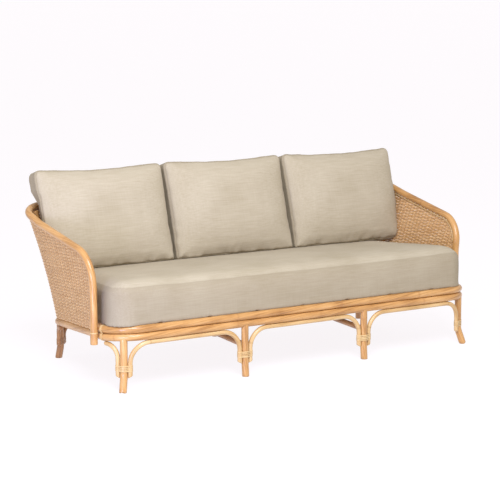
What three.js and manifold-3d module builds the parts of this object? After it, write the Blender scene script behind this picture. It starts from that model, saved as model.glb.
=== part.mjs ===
// Rattan garden sofa: bent cane poles, woven side and back walls, a long seat cushion and three loose back cushions.
// Millimetres. +Z is up and -Y is the front. Left and right are as seen from the front, with right at +X.
import * as THREE from 'three';
import { mergeVertices } from 'three/addons/utils/BufferGeometryUtils.js';
import Module from 'manifold-3d';

const solids = await Module();
solids.setup();

// Poles
const poleDiameter = 30;
const braceDiameter = 19;
const stretcherDiameter = 24;
const bearerDiameter = 24;
const uprightDiameter = 22;
const trimDiameter = 5;
const fitGap = 0.3;

// Seat frame, seen from above and from the side
const frontCornerHalfWidth = 897;
const rearCornerHalfWidth = 803;
const seatDepth = 725;
const frontRailHeight = 218;
const rearRailHeight = 162;
const frontCornerRadius = 124;
const rearCornerRadius = 80;
const railJointSetback = 40;
const upperRailOverlap = 12;

// Top rail, from the foot of the arm post to the middle of the back
const postFootHeight = 175;
const postLeanHeight = 400;
const armFrontHeight = 527;
const armRiseHeight = 608;
const backRailHeight = 657;
const armHalfWidth = 936;
const armFrontTaper = 15;
const armRiseRun = 192;
const backRailOverhang = 37;
const postLeanRadius = 300;
const armBendRadius = 115;
const armRiseRadius = 150;
const backCornerRadius = 120;

// Legs
const middleLegSpacing = 298;
const frontCornerLegTurn = THREE.MathUtils.degToRad(41);
const rearCornerLegTurn = THREE.MathUtils.degToRad(42);
const frontKneeHeight = 66;
const rearKneeHeight = 50;
const kneeRadius = 70;
const cornerKick = 24;
const middleKick = 6;
const rearKick = 10;
const legTopDrop = 6;

// Arched braces
const archRadius = 80;
const cornerArchRadius = 58;
const rearArchRadius = 45;
const archFootHeight = 58;
const bracketReach = 12;

// Peel bindings round the legs, and ties round the two front rails
const bindingHeight = 26;
const frontBindingBottom = 80;
const rearBindingBottom = 62;
const bindingThickness = 1.6;
const railTieWidth = 14;

// Stretchers, bearers, deck poles and uprights
const stretcherFrontHeight = 129;
const frontBearerDepth = 150;
const rearBearerDepth = 460;
const deckPoleCount = 7;
const deckPoleSpacing = 225;
const backUprightSpacing = 337;
const uprightInset = 17;

// Woven walls and the reed trim inside them
const wallThickness = 5;
const wallOutset = 6;
const wallGap = 0.7;
const trimClearance = 2.6;
const wallBowShare = 0.3;

// Seat cushion
const seatCushionFrontGap = 21;
const seatCushionSideGap = 5;
const seatCushionRearGap = 41;
const seatCushionOverhang = 13;
const seatCushionThickness = 178;
const seatCushionCrown = 10;
const seatCushionRoll = 34;
const seatCushionFrontCorner = 96;
const seatCushionRearCorner = 84;

// Back cushions
const backCushionArmGap = 18.5;
const backCushionHeight = 434;
const backCushionBoxing = 86;
const backCushionCrown = 52;
const backCushionCorner = 26;
const backCushionLean = THREE.MathUtils.degToRad(16.5);
const backCushionSetback = 195;
const backCushionGap = 4;
const restCrownShare = 0.61;
const backCushionSqueezeShare = 0.346;
const backCushionSqueezeHeight = 190;
const backCushionTuckShare = 0.226;
const backCushionTuckHeight = 350;
const backCushionTuckFade = 60;

// How cushions are drawn in between their corners and rounded at their edges
const cushionDrawIn = 8;
const cushionEdge = 13;
const cushionBulge = 5;
const cushionStep = 110;
const crownPower = 2.4;
const squeezePower = 1.5;
const faceReachShares = [1, 0.86, 0.66, 0.4, 0];
const undersideReachShares = [0, 0.6, 1];
const rollShares = [0, 0.5];

// How finely round stretches are drawn
const poleSides = 10;
const braceSides = 8;
const trimSides = 6;
const boreSides = 16;
const bandSides = 28;
const bendStep = THREE.MathUtils.degToRad(11);
const cushionBendStep = THREE.MathUtils.degToRad(24);
const wallRows = 6;
const cutOverrun = 40;

const poleRadius = poleDiameter / 2;
const braceRadius = braceDiameter / 2;
const up = new THREE.Vector3(0, 0, 1);

// A line through corner points, with a round bend at each inner one.
class BentLine {
  constructor(corners, radii) {
    this.pieces = [];
    let start = corners[0];
    for (let i = 1; i < corners.length - 1; i += 1) {
      const before = corners[i].clone().sub(corners[i - 1]).normalize();
      const after = corners[i + 1].clone().sub(corners[i]).normalize();
      const turn = before.angleTo(after);
      const reach = radii[i - 1] * Math.tan(turn / 2);
      const bendStart = corners[i].clone().addScaledVector(before, -reach);
      this.addStraight(start, bendStart);
      this.addBend(bendStart, before, after, radii[i - 1], turn);
      start = corners[i].clone().addScaledVector(after, reach);
    }
    this.addStraight(start, corners[corners.length - 1]);
    this.length = this.pieces.reduce((sum, piece) => sum + piece.length, 0);
  }

  addStraight(start, end) {
    const length = start.distanceTo(end);
    this.pieces.push({ length, turn: 0, start, along: end.clone().sub(start).normalize() });
  }

  addBend(start, before, after, radius, turn) {
    const side = after.clone().addScaledVector(before, -before.dot(after)).normalize();
    this.pieces.push({ length: radius * turn, turn, start, along: before, side, radius });
  }

  // Distance from the start of the line to the start of a piece.
  startOf(index) {
    return this.pieces.slice(0, index).reduce((sum, piece) => sum + piece.length, 0);
  }

  at(distance) {
    let rest = Math.min(Math.max(distance, 0), this.length);
    let index = 0;
    while (index < this.pieces.length - 1 && rest > this.pieces[index].length) {
      rest -= this.pieces[index].length;
      index += 1;
    }
    const piece = this.pieces[index];
    if (!piece.turn) {
      return { point: piece.start.clone().addScaledVector(piece.along, rest), tangent: piece.along.clone() };
    }
    const angle = rest / piece.radius;
    const point = piece.start.clone()
      .addScaledVector(piece.along, piece.radius * Math.sin(angle))
      .addScaledVector(piece.side, piece.radius * (1 - Math.cos(angle)));
    const tangent = piece.along.clone().multiplyScalar(Math.cos(angle))
      .addScaledVector(piece.side, Math.sin(angle));
    return { point, tangent };
  }

  // Distances between two places where a pole needs a ring: the ends of each piece, and steps in bends.
  stations(from, to) {
    const list = [from];
    let start = 0;
    for (const piece of this.pieces) {
      const steps = Math.max(1, Math.ceil(piece.turn / bendStep));
      for (let i = 0; i <= steps; i += 1) {
        const place = start + (piece.length * i) / steps;
        if (place > list[list.length - 1] + fitGap && place < to - fitGap) {
          list.push(place);
        }
      }
      start += piece.length;
    }
    list.push(to);
    return list;
  }
}

// A curve that passes exactly through its samples, one sample per step.
class SampledPath extends THREE.Curve {
  constructor(points) {
    super();
    this.points = points;
  }

  getPoint(share) {
    const place = share * (this.points.length - 1);
    const index = Math.min(Math.floor(place), this.points.length - 2);
    return this.points[index].clone().lerp(this.points[index + 1], place - index);
  }

  getPointAt(share) {
    return this.getPoint(share);
  }

  getTangentAt(share) {
    const index = Math.round(share * (this.points.length - 1));
    const last = this.points.length - 1;
    const before = this.points[Math.max(index, 1)].clone().sub(this.points[Math.max(index - 1, 0)]);
    const after = this.points[Math.min(index + 1, last)].clone().sub(this.points[Math.min(index, last - 1)]);
    return before.normalize().add(after.normalize()).normalize();
  }

  getSpacedPoints(divisions) {
    return Array.from({ length: divisions + 1 }, (_, i) => this.getPoint(i / divisions));
  }
}

function tubeThrough(points, diameter, sides) {
  const section = new THREE.Shape();
  for (let i = 0; i < sides; i += 1) {
    const angle = (2 * Math.PI * i) / sides;
    const x = (diameter / 2) * Math.cos(angle);
    const y = (diameter / 2) * Math.sin(angle);
    if (i === 0) {
      section.moveTo(x, y);
    } else {
      section.lineTo(x, y);
    }
  }
  section.closePath();
  const path = new SampledPath(points);
  return new THREE.ExtrudeGeometry(section, { steps: points.length - 1, extrudePath: path });
}

function poleAlong(line, from, to, diameter, sides = poleSides) {
  return tubeThrough(line.stations(from, to).map((place) => line.at(place).point), diameter, sides);
}

function straightPole(start, end, diameter, sides = poleSides) {
  return tubeThrough([start, end], diameter, sides);
}

// What is cut away for a pole to seat: its tube with the fit gap all round, clear of every facet.
function boreThrough(points) {
  const clear = (poleDiameter + 2 * fitGap) / Math.cos(Math.PI / boreSides);
  return tubeThrough(points, clear, boreSides);
}

function boreAlong(line, from, to, rise = 0) {
  return boreThrough(line.stations(from, to).map((place) => line.at(place).point.addScaledVector(up, rise)));
}

// Cuts and joins on closed solids.
function solidOf(geometry) {
  const bare = geometry.clone();
  bare.deleteAttribute('normal');
  bare.deleteAttribute('uv');
  const merged = mergeVertices(bare);
  return new solids.Manifold(new solids.Mesh({
    numProp: 3,
    vertProperties: new Float32Array(merged.getAttribute('position').array),
    triVerts: new Uint32Array(merged.getIndex().array),
  }));
}

function geometryOf(solid) {
  const mesh = solid.getMesh();
  const geometry = new THREE.BufferGeometry();
  geometry.setAttribute('position', new THREE.BufferAttribute(new Float32Array(mesh.vertProperties), 3));
  geometry.setIndex(new THREE.BufferAttribute(new Uint32Array(mesh.triVerts), 1));
  return geometry;
}

function cut(geometry, cutters) {
  const left = cutters.reduce((solid, cutter) => solid.subtract(solidOf(cutter)), solidOf(geometry));
  return geometryOf(left);
}

// Keeps the largest body of a cut piece: the offcuts beyond a coped end are thrown away.
function largestOf(geometry) {
  const bodies = solidOf(geometry).decompose();
  return geometryOf(bodies.reduce((a, b) => (b.volume() > a.volume() ? b : a)));
}

// A closed skin over rows of points; each row is a loop, and the first and last loops are capped flat
// or close on a single point.
function skinOf(loops) {
  const positions = [];
  const indices = [];
  const starts = loops.map((loop) => {
    const start = positions.length / 3;
    loop.forEach((point) => positions.push(point.x, point.y, point.z));
    return start;
  });
  const fan = (centre, start, count, flip) => {
    for (let i = 0; i < count; i += 1) {
      const next = (i + 1) % count;
      indices.push(...(flip ? [centre, start + next, start + i] : [centre, start + i, start + next]));
    }
  };
  for (let k = 0; k < loops.length - 1; k += 1) {
    const count = Math.max(loops[k].length, loops[k + 1].length);
    if (loops[k].length === 1) {
      fan(starts[k], starts[k + 1], count, true);
    } else if (loops[k + 1].length === 1) {
      fan(starts[k + 1], starts[k], count, false);
    } else {
      for (let i = 0; i < count; i += 1) {
        const next = (i + 1) % count;
        const lower = [starts[k] + i, starts[k] + next];
        const upper = [starts[k + 1] + i, starts[k + 1] + next];
        indices.push(lower[0], lower[1], upper[1], lower[0], upper[1], upper[0]);
      }
    }
  }
  const geometry = new THREE.BufferGeometry();
  geometry.setAttribute('position', new THREE.Float32BufferAttribute(positions, 3));
  geometry.setIndex(indices);
  return geometry;
}

// Finishes
const cane = new THREE.MeshStandardMaterial({ name: 'cane', color: 0xd9a066, roughness: 0.4, metalness: 0 });
const paleCane = new THREE.MeshStandardMaterial({ name: 'pale_cane', color: 0xe8cc9a, roughness: 0.45, metalness: 0 });
const peel = new THREE.MeshStandardMaterial({ name: 'peel', color: 0xeccfa0, roughness: 0.4, metalness: 0 });
const weave = new THREE.MeshStandardMaterial({ name: 'weave', color: 0xd0a070, roughness: 0.6, metalness: 0 });
const linen = new THREE.MeshStandardMaterial({ name: 'linen', color: 0xc9bea4, roughness: 0.9, metalness: 0 });

const sofa = new THREE.Group();

function add(name, geometry, material) {
  const mesh = new THREE.Mesh(geometry, material);
  mesh.name = name;
  sofa.add(mesh);
  return mesh;
}

// The seat frame lies in one plane that falls towards the back.
const seatSlope = (frontRailHeight - rearRailHeight) / seatDepth;
const seatLevel = (y) => frontRailHeight - seatSlope * y;
const onSeatPlane = (x, y, rise = 0) => new THREE.Vector3(x, y, seatLevel(y) + rise);

// The lower rail, as one closed line from the middle of the front to the sitter's left, round the back
// and home again. It starts and ends at the middle of the front.
const railLine = new BentLine(
  [
    onSeatPlane(0, 0),
    onSeatPlane(frontCornerHalfWidth, 0),
    onSeatPlane(rearCornerHalfWidth, seatDepth),
    onSeatPlane(-rearCornerHalfWidth, seatDepth),
    onSeatPlane(-frontCornerHalfWidth, 0),
    onSeatPlane(0, 0),
  ],
  [frontCornerRadius, rearCornerRadius, rearCornerRadius, frontCornerRadius],
);
const frontBendStart = railLine.startOf(1);
const frontBendEnd = railLine.startOf(2);
const rearBendStart = railLine.startOf(3);
const rearBendEnd = railLine.startOf(4);
const backMiddle = railLine.length / 2;
const mirrored = (place) => railLine.length - place;

// Rises a rail place by a height, keeping it over the lower rail.
const overRail = (place, rise) => railLine.at(place).point.addScaledVector(up, rise);
const outwardAt = (place) => {
  const along = railLine.at(place).tangent;
  return new THREE.Vector3(along.y, -along.x, 0).normalize();
};

// Lower rail: a long pole round the front and sides, and a shorter one round the back.
const jointPlace = rearBendStart - railJointSetback;
const frontRunPoints = [
  ...railLine.stations(mirrored(jointPlace), railLine.length).slice(0, -1).map((place) => railLine.at(place).point),
  ...railLine.stations(0, jointPlace).slice(1).map((place) => railLine.at(place).point),
];
add('seat_rail_front', tubeThrough(frontRunPoints, poleDiameter, poleSides), cane);
const rearRun = poleAlong(railLine, jointPlace + fitGap, mirrored(jointPlace) - fitGap, poleDiameter);
add('seat_rail_rear', rearRun, cane);

// Upper front rail, stacked on the lower one from arm post to arm post.
const railStack = poleDiameter + fitGap;
const upperRailEnd = frontBendEnd + upperRailOverlap;
const upperRailPoints = [
  ...railLine.stations(mirrored(upperRailEnd), railLine.length).slice(0, -1).map((place) => overRail(place, railStack)),
  ...railLine.stations(0, upperRailEnd).slice(1).map((place) => overRail(place, railStack)),
];
add('front_rail_upper', tubeThrough(upperRailPoints, poleDiameter, poleSides), cane);

// Top rail: both arm posts, both arms and the back in one bent pole.
const armFrontHalfWidth = armHalfWidth - armFrontTaper;
const backRailDepth = seatDepth + backRailOverhang;
const armRiseDepth = backRailDepth - armRiseRun;
const postPlace = frontBendEnd;
const postPoint = railLine.at(postPlace).point.addScaledVector(outwardAt(postPlace), poleDiameter + fitGap);
const halfTopCorners = [
  new THREE.Vector3(postPoint.x, postPoint.y, postFootHeight),
  new THREE.Vector3(postPoint.x, postPoint.y, postLeanHeight),
  new THREE.Vector3(armFrontHalfWidth, postPoint.y, armFrontHeight),
  new THREE.Vector3(armHalfWidth, armRiseDepth, armRiseHeight),
  new THREE.Vector3(armHalfWidth, backRailDepth, backRailHeight),
];
const halfTopRadii = [postLeanRadius, armBendRadius, armRiseRadius, backCornerRadius];
const mirrorX = (point) => new THREE.Vector3(-point.x, point.y, point.z);
const topLine = new BentLine(
  [...halfTopCorners, ...halfTopCorners.map(mirrorX).reverse()],
  [...halfTopRadii, ...[...halfTopRadii].reverse()],
);
add('top_rail', poleAlong(topLine, 0, topLine.length, poleDiameter), cane);

// Legs: a straight pole coped to the underside of the rail, kicked out at the foot and cut flat.
function floorCutter(point) {
  const box = new THREE.BoxGeometry(3 * cutOverrun, 3 * cutOverrun, cutOverrun);
  return box.translate(point.x, point.y, -cutOverrun / 2);
}

function legAt(place, kick, kneeHeight) {
  const head = railLine.at(place).point;
  const outward = outwardAt(place);
  const drop = kneeHeight + cutOverrun / 2;
  const spread = (kick * drop) / kneeHeight;
  const toe = new THREE.Vector3(head.x, head.y, kneeHeight - drop).addScaledVector(outward, spread);
  const line = new BentLine(
    [
      new THREE.Vector3(head.x, head.y, head.z - legTopDrop),
      new THREE.Vector3(head.x, head.y, kneeHeight),
      toe,
    ],
    [kneeRadius],
  );
  const pole = poleAlong(line, 0, line.length, poleDiameter);
  return cut(pole, [boreAlong(railLine, place - cutOverrun, place + cutOverrun), floorCutter(toe)]);
}

const cornerLegPlace = frontBendStart + frontCornerRadius * frontCornerLegTurn;
const rearLegPlace = rearBendStart + rearCornerRadius * rearCornerLegTurn;
const frontLeg = { knee: frontKneeHeight, band: frontBindingBottom };
const rearLeg = { kick: rearKick, knee: rearKneeHeight, band: rearBindingBottom };
const legs = [
  { ...frontLeg, name: 'leg_front_corner_left', place: mirrored(cornerLegPlace), kick: cornerKick },
  { ...frontLeg, name: 'leg_front_middle_left', place: mirrored(middleLegSpacing), kick: middleKick },
  { ...frontLeg, name: 'leg_front_middle_right', place: middleLegSpacing, kick: middleKick },
  { ...frontLeg, name: 'leg_front_corner_right', place: cornerLegPlace, kick: cornerKick },
  { ...rearLeg, name: 'leg_rear_left', place: mirrored(rearLegPlace) },
  { ...rearLeg, name: 'leg_rear_middle', place: backMiddle },
  { ...rearLeg, name: 'leg_rear_right', place: rearLegPlace },
];
legs.forEach((leg) => add(leg.name, legAt(leg.place, leg.kick, leg.knee), cane));

// Arched braces. Each is drawn flat, as places along the rail and drops below it, and then follows the rail.
const besideLeg = poleRadius + braceRadius + fitGap;

function archPoints(from, to, radius, closedEnd) {
  const way = Math.sign(to - from);
  const steps = Math.ceil(Math.PI / 2 / bendStep);
  const wrap = (place) => (place + railLine.length) % railLine.length;
  const under = (place, drop) => railLine.at(wrap(place)).point.addScaledVector(up, -besideLeg - drop);
  const foot = (place) => under(place, 0).setZ(archFootHeight);
  const bend = (start, direction) => Array.from({ length: steps + 1 }, (_, i) => {
    const angle = (Math.PI / 2) * (i / steps);
    return under(start + direction * radius * (1 - Math.cos(angle)), radius * (1 - Math.sin(angle)));
  });
  const first = from + way * radius;
  const last = closedEnd ? to - way * radius : to;
  const straight = railLine.stations(0, railLine.length)
    .slice(1, -1)
    .flatMap((place) => [place - railLine.length, place])
    .filter((place) => (place - first) * way > fitGap && (last - place) * way > fitGap)
    .sort((a, b) => way * (a - b))
    .map((place) => under(place, 0));
  const start = [foot(from), ...bend(from, way), ...straight];
  return closedEnd ? [...start, ...bend(to, -way).reverse(), foot(to)] : [...start, under(to, 0)];
}

function arch(name, from, to, radius, closedEnd = true) {
  add(name, tubeThrough(archPoints(from, to, radius, closedEnd), braceDiameter, braceSides), paleCane);
}

arch('arch_front_right', middleLegSpacing + besideLeg, cornerLegPlace - besideLeg, archRadius);
arch('arch_front_middle', -middleLegSpacing + besideLeg, middleLegSpacing - besideLeg, archRadius);
arch('arch_front_left', mirrored(middleLegSpacing) - besideLeg, mirrored(cornerLegPlace) + besideLeg, archRadius);
const tiePlace = postPlace - poleRadius - railTieWidth / 2 - 2 * bindingThickness;
const cornerArchEnd = tiePlace - railTieWidth / 2 - 2 * bindingThickness;
arch('arch_corner_right', cornerLegPlace + besideLeg, cornerArchEnd, cornerArchRadius, false);
arch('arch_corner_left', mirrored(cornerLegPlace) - besideLeg, mirrored(cornerArchEnd), cornerArchRadius, false);
const bracketStart = rearLegPlace - besideLeg;
const bracketEnd = bracketStart - rearArchRadius - bracketReach;
arch('bracket_rear_right', bracketStart, bracketEnd, rearArchRadius, false);
arch('bracket_rear_left', mirrored(bracketStart), mirrored(bracketEnd), rearArchRadius, false);
arch('arch_rear_right', rearLegPlace + besideLeg, backMiddle - besideLeg, rearArchRadius);
arch('arch_rear_left', mirrored(rearLegPlace) - besideLeg, backMiddle + besideLeg, rearArchRadius);

// Peel bindings: a band drawn tight round the leg and the two brace ends beside it.
function bandOutline(circles, growth) {
  const points = [];
  for (let i = 0; i < bandSides; i += 1) {
    const angle = (2 * Math.PI * i) / bandSides;
    const normal = new THREE.Vector2(Math.cos(angle), Math.sin(angle));
    const reach = (circle) => circle.centre.dot(normal) + circle.radius + growth;
    const best = circles.reduce((a, b) => (reach(b) > reach(a) ? b : a));
    points.push(best.centre.clone().addScaledVector(normal, best.radius + growth));
  }
  return points;
}

function bandGeometry(circles, width, gap) {
  const slack = 1 / Math.cos(Math.PI / bandSides);
  const widest = Math.max(...circles.map((circle) => circle.radius));
  const inner = gap + widest * (slack - 1);
  const shape = new THREE.Shape(bandOutline(circles, inner + bindingThickness));
  shape.holes.push(new THREE.Path(bandOutline(circles, inner)));
  return new THREE.ExtrudeGeometry(shape, { depth: width, bevelEnabled: false, steps: 1 });
}

function bindingAt(name, place, bottom) {
  const head = railLine.at(place).point;
  const braceCentre = (step) => {
    const { point } = railLine.at((place + step + railLine.length) % railLine.length);
    return new THREE.Vector2(point.x - head.x, point.y - head.y);
  };
  const circles = [
    { centre: new THREE.Vector2(0, 0), radius: poleRadius },
    { centre: braceCentre(besideLeg), radius: braceRadius },
    { centre: braceCentre(-besideLeg), radius: braceRadius },
  ];
  const mesh = add(name, bandGeometry(circles, bindingHeight, fitGap), peel);
  mesh.position.set(head.x, head.y, bottom);
}

legs.forEach((leg) => bindingAt(leg.name.replace('leg', 'binding'), leg.place, leg.band));

// Ties that hold the two front rails together beside each arm post.
function railTie(name, place) {
  const circles = [
    { centre: new THREE.Vector2(0, 0), radius: poleRadius },
    { centre: new THREE.Vector2(0, railStack), radius: poleRadius },
  ];
  const { point, tangent } = railLine.at(place);
  const outward = outwardAt(place);
  const rise = up.clone().addScaledVector(tangent, -up.dot(tangent)).normalize();
  const along = new THREE.Vector3().crossVectors(outward, rise);
  const bendSag = railTieWidth ** 2 / (8 * frontCornerRadius) + frontCornerRadius * (1 - Math.cos(bendStep / 2));
  const band = bandGeometry(circles, railTieWidth, fitGap + bendSag).translate(0, 0, -railTieWidth / 2);
  const mesh = add(name, band, peel);
  mesh.setRotationFromMatrix(new THREE.Matrix4().makeBasis(outward, rise, along));
  mesh.position.copy(point);
}

railTie('rail_tie_right', tiePlace);
railTie('rail_tie_left', mirrored(tiePlace));

// Stretchers run from the back of each middle leg to the front of the rear rail.
const stretcherTop = seatLevel(seatDepth);
[['stretcher_left', -1], ['stretcher_right', 1]].forEach(([name, side]) => {
  const x = side * middleLegSpacing;
  const front = new THREE.Vector3(x, 0, stretcherFrontHeight);
  const back = new THREE.Vector3(x, seatDepth, stretcherTop);
  const legCutter = boreThrough([new THREE.Vector3(x, 0, 0), new THREE.Vector3(x, 0, frontRailHeight)]);
  const rear = boreAlong(railLine, rearBendEnd, mirrored(rearBendEnd));
  add(name, largestOf(cut(straightPole(front, back, stretcherDiameter), [legCutter, rear])), cane);
});

// Bearers run across between the side rails, just under the deck poles.
const bearerRise = poleRadius - bearerDiameter / 2;
[['bearer_front', frontBearerDepth], ['bearer_rear', rearBearerDepth]].forEach(([name, y]) => {
  const reach = frontCornerHalfWidth;
  const pole = straightPole(onSeatPlane(-reach, y, bearerRise), onSeatPlane(reach, y, bearerRise), bearerDiameter);
  const rails = [
    boreAlong(railLine, frontBendStart, jointPlace),
    boreAlong(railLine, mirrored(jointPlace), mirrored(frontBendStart)),
  ];
  add(name, largestOf(cut(pole, rails)), cane);
});

// Deck poles run from the upper front rail to the top of the rear rail.
for (let i = 0; i < deckPoleCount; i += 1) {
  const x = (i - (deckPoleCount - 1) / 2) * deckPoleSpacing;
  const pole = straightPole(onSeatPlane(x, 0, railStack), onSeatPlane(x, seatDepth, railStack), poleDiameter);
  const front = boreAlong(railLine, 0, frontBendStart, railStack);
  const frontOther = boreAlong(railLine, mirrored(frontBendStart), railLine.length, railStack);
  add(`deck_pole_${i + 1}`, largestOf(cut(pole, [front, frontOther])), cane);
}

// Woven walls stand on the lower rail and reach the underside of the top rail.
const topBendStart = topLine.startOf(3);
const topCornerStart = topLine.startOf(7);
const topCornerEnd = topLine.startOf(8);
const topMiddle = topLine.length / 2;

function topOutward(place) {
  const { point, tangent } = topLine.at(place);
  if (point.y < armRiseDepth) {
    return new THREE.Vector3(Math.sign(point.x), 0, 0);
  }
  return new THREE.Vector3(tangent.y, -tangent.x, 0).normalize();
}

function wallTop(place) {
  const { point, tangent } = topLine.at(place);
  const inward = new THREE.Vector3().crossVectors(tangent, topOutward(place)).normalize();
  return point.addScaledVector(inward, poleRadius + wallGap);
}

// One column of the wall: the inner and outer points of each row, from the rail up.
function wallColumn(topPlace, railPlace) {
  const outward = outwardAt(railPlace);
  const foot = overRail(railPlace, poleRadius + fitGap).addScaledVector(outward, wallOutset);
  const head = wallTop(topPlace);
  const face = topOutward(topPlace).add(outward).normalize();
  const inner = [];
  const outer = [];
  for (let row = 0; row <= wallRows; row += 1) {
    const share = row / wallRows;
    const flare = share - wallBowShare * share * (1 - share);
    const middle = foot.clone().lerp(head, flare);
    middle.z = foot.z + (head.z - foot.z) * share;
    inner.push(middle.clone().addScaledVector(face, -wallThickness / 2));
    outer.push(middle.clone().addScaledVector(face, wallThickness / 2));
  }
  return [...inner, ...outer.reverse()];
}

function wallGeometry(pairs) {
  const columns = pairs.map(([topPlace, railPlace]) => wallColumn(topPlace, railPlace));
  const centre = (loop) => [loop.reduce((sum, point) => sum.add(point), new THREE.Vector3()).divideScalar(loop.length)];
  return skinOf([centre(columns[0]), ...columns, centre(columns[columns.length - 1])]);
}

function pairPlaces(topFrom, topTo, railFrom, railTo) {
  const railStations = railLine.stations(railFrom, railTo).map((place) => (place - railFrom) / (railTo - railFrom));
  const topStations = topLine.stations(topFrom, topTo).map((place) => (place - topFrom) / (topTo - topFrom));
  const shares = [...new Set([...railStations, ...topStations].map((share) => Number(share.toFixed(4))))];
  shares.sort((a, b) => a - b);
  return shares.map((share) => [topFrom + share * (topTo - topFrom), railFrom + share * (railTo - railFrom)]);
}

const wallFront = postPlace + poleRadius + 2 * fitGap;
const sidePairs = pairPlaces(topBendStart, topCornerStart - wallGap, wallFront, rearBendStart - wallGap);
const halfBackPairs = [
  ...pairPlaces(topCornerStart, topCornerEnd, rearBendStart, rearBendEnd),
  ...pairPlaces(topCornerEnd, topMiddle, rearBendEnd, backMiddle).slice(1),
];
const mirrorPairs = (pairs) => pairs
  .map(([topPlace, railPlace]) => [topLine.length - topPlace, mirrored(railPlace)])
  .reverse();
add('woven_side_right', wallGeometry(sidePairs), weave);
add('woven_back', wallGeometry([...halfBackPairs, ...mirrorPairs(halfBackPairs).slice(1)]), weave);
add('woven_side_left', wallGeometry(mirrorPairs(sidePairs)), weave);

// A thin reed inside the walls, close under the top rail.
const trimInset = wallThickness / 2 + trimClearance + trimDiameter / 2;
const trimDrop = poleRadius + trimDiameter / 2;
const trimPoints = topLine.stations(topBendStart, topLine.length - topBendStart).map((place) => {
  const { point, tangent } = topLine.at(place);
  const outward = topOutward(place);
  const inward = new THREE.Vector3().crossVectors(tangent, outward).normalize();
  return point.addScaledVector(inward, trimDrop).addScaledVector(outward, -trimInset);
});
add('reed_trim', tubeThrough(trimPoints, trimDiameter, trimSides), peel);

// Uprights inside the back wall follow its bow. They are coped to the rear rail and the top rail, and
// notched over the reed trim.
function upright(name, railPlace, topPlace) {
  const inward = outwardAt(railPlace).multiplyScalar(-uprightInset);
  const foot = railLine.at(railPlace).point;
  const head = topLine.at(topPlace).point;
  const points = Array.from({ length: wallRows + 1 }, (_, row) => {
    const share = row / wallRows;
    const point = foot.clone().lerp(head, share - wallBowShare * share * (1 - share));
    point.z = foot.z + (head.z - foot.z) * share;
    return point.add(inward);
  });
  const seats = [
    boreAlong(railLine, railPlace - cutOverrun, railPlace + cutOverrun),
    boreAlong(topLine, topPlace - cutOverrun, topPlace + cutOverrun),
    tubeThrough(trimPoints, trimDiameter + 4 * fitGap, trimSides),
  ];
  add(name, largestOf(cut(tubeThrough(points, uprightDiameter, braceSides), seats)), cane);
}

const topPlaceOver = (x) => topMiddle - x;
const railPlaceUnder = (x) => backMiddle - x;
upright('upright_back_right', railPlaceUnder(backUprightSpacing), topPlaceOver(backUprightSpacing));
upright('upright_back_left', railPlaceUnder(-backUprightSpacing), topPlaceOver(-backUprightSpacing));
const cornerUprightPlace = (topCornerStart + topCornerEnd) / 2;
upright('upright_corner_right', rearLegPlace, cornerUprightPlace);
upright('upright_corner_left', mirrored(rearLegPlace), topLine.length - cornerUprightPlace);

// Cushions. A closed line gives the seam, and the skin runs in loops from the underside to the top.
function seamLoop(corners, radii) {
  const start = corners[0].clone().lerp(corners[1], 0.5);
  const line = new BentLine([start, ...corners.slice(1), corners[0], start], [...radii.slice(1), radii[0]]);
  const loop = [];
  line.pieces.forEach((piece, index) => {
    const steps = Math.ceil(piece.turn ? piece.turn / cushionBendStep : piece.length / cushionStep);
    const half = index === 0 || index === line.pieces.length - 1;
    for (let i = 0; i < steps; i += 1) {
      const share = i / steps;
      const { point, tangent } = line.at(line.startOf(index) + piece.length * share);
      const along = half ? (share + (index === 0 ? 1 : 0)) / 2 : share;
      const drawn = piece.turn ? 0 : Math.sin(Math.PI * along);
      loop.push({ point, normal: new THREE.Vector3(tangent.y, -tangent.x, 0), drawn });
    }
  });
  return loop;
}

function cushionLoops(loop, levels) {
  const centre = loop.reduce((sum, { point }) => sum.add(point), new THREE.Vector3()).divideScalar(loop.length);
  return levels.map(({ reach, grow, height, crown }) => {
    if (reach === 0) {
      return [new THREE.Vector3(centre.x, centre.y, height + crown)];
    }
    return loop.map(({ point, normal, drawn }) => {
      const edge = point.clone().addScaledVector(normal, grow - cushionDrawIn * drawn);
      const place = centre.clone().lerp(edge, reach);
      place.z = height + crown * (1 - reach ** crownPower);
      return place;
    });
  });
}

// Levels of one face, from its edge in to its middle.
function faceLevels(height, crown, reachShares, edge = cushionEdge) {
  return reachShares.map((reach) => ({ reach, grow: -edge, height, crown }));
}

// Levels of a rolled edge, from the boxing up to where the face starts.
function rollLevels(height, roll) {
  return rollShares.map((share) => {
    const turn = (share * Math.PI) / 2;
    const grow = -roll * (1 - Math.cos(turn));
    return { reach: 1, grow, height: height - roll * (1 - Math.sin(turn)), crown: 0 };
  });
}


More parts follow.
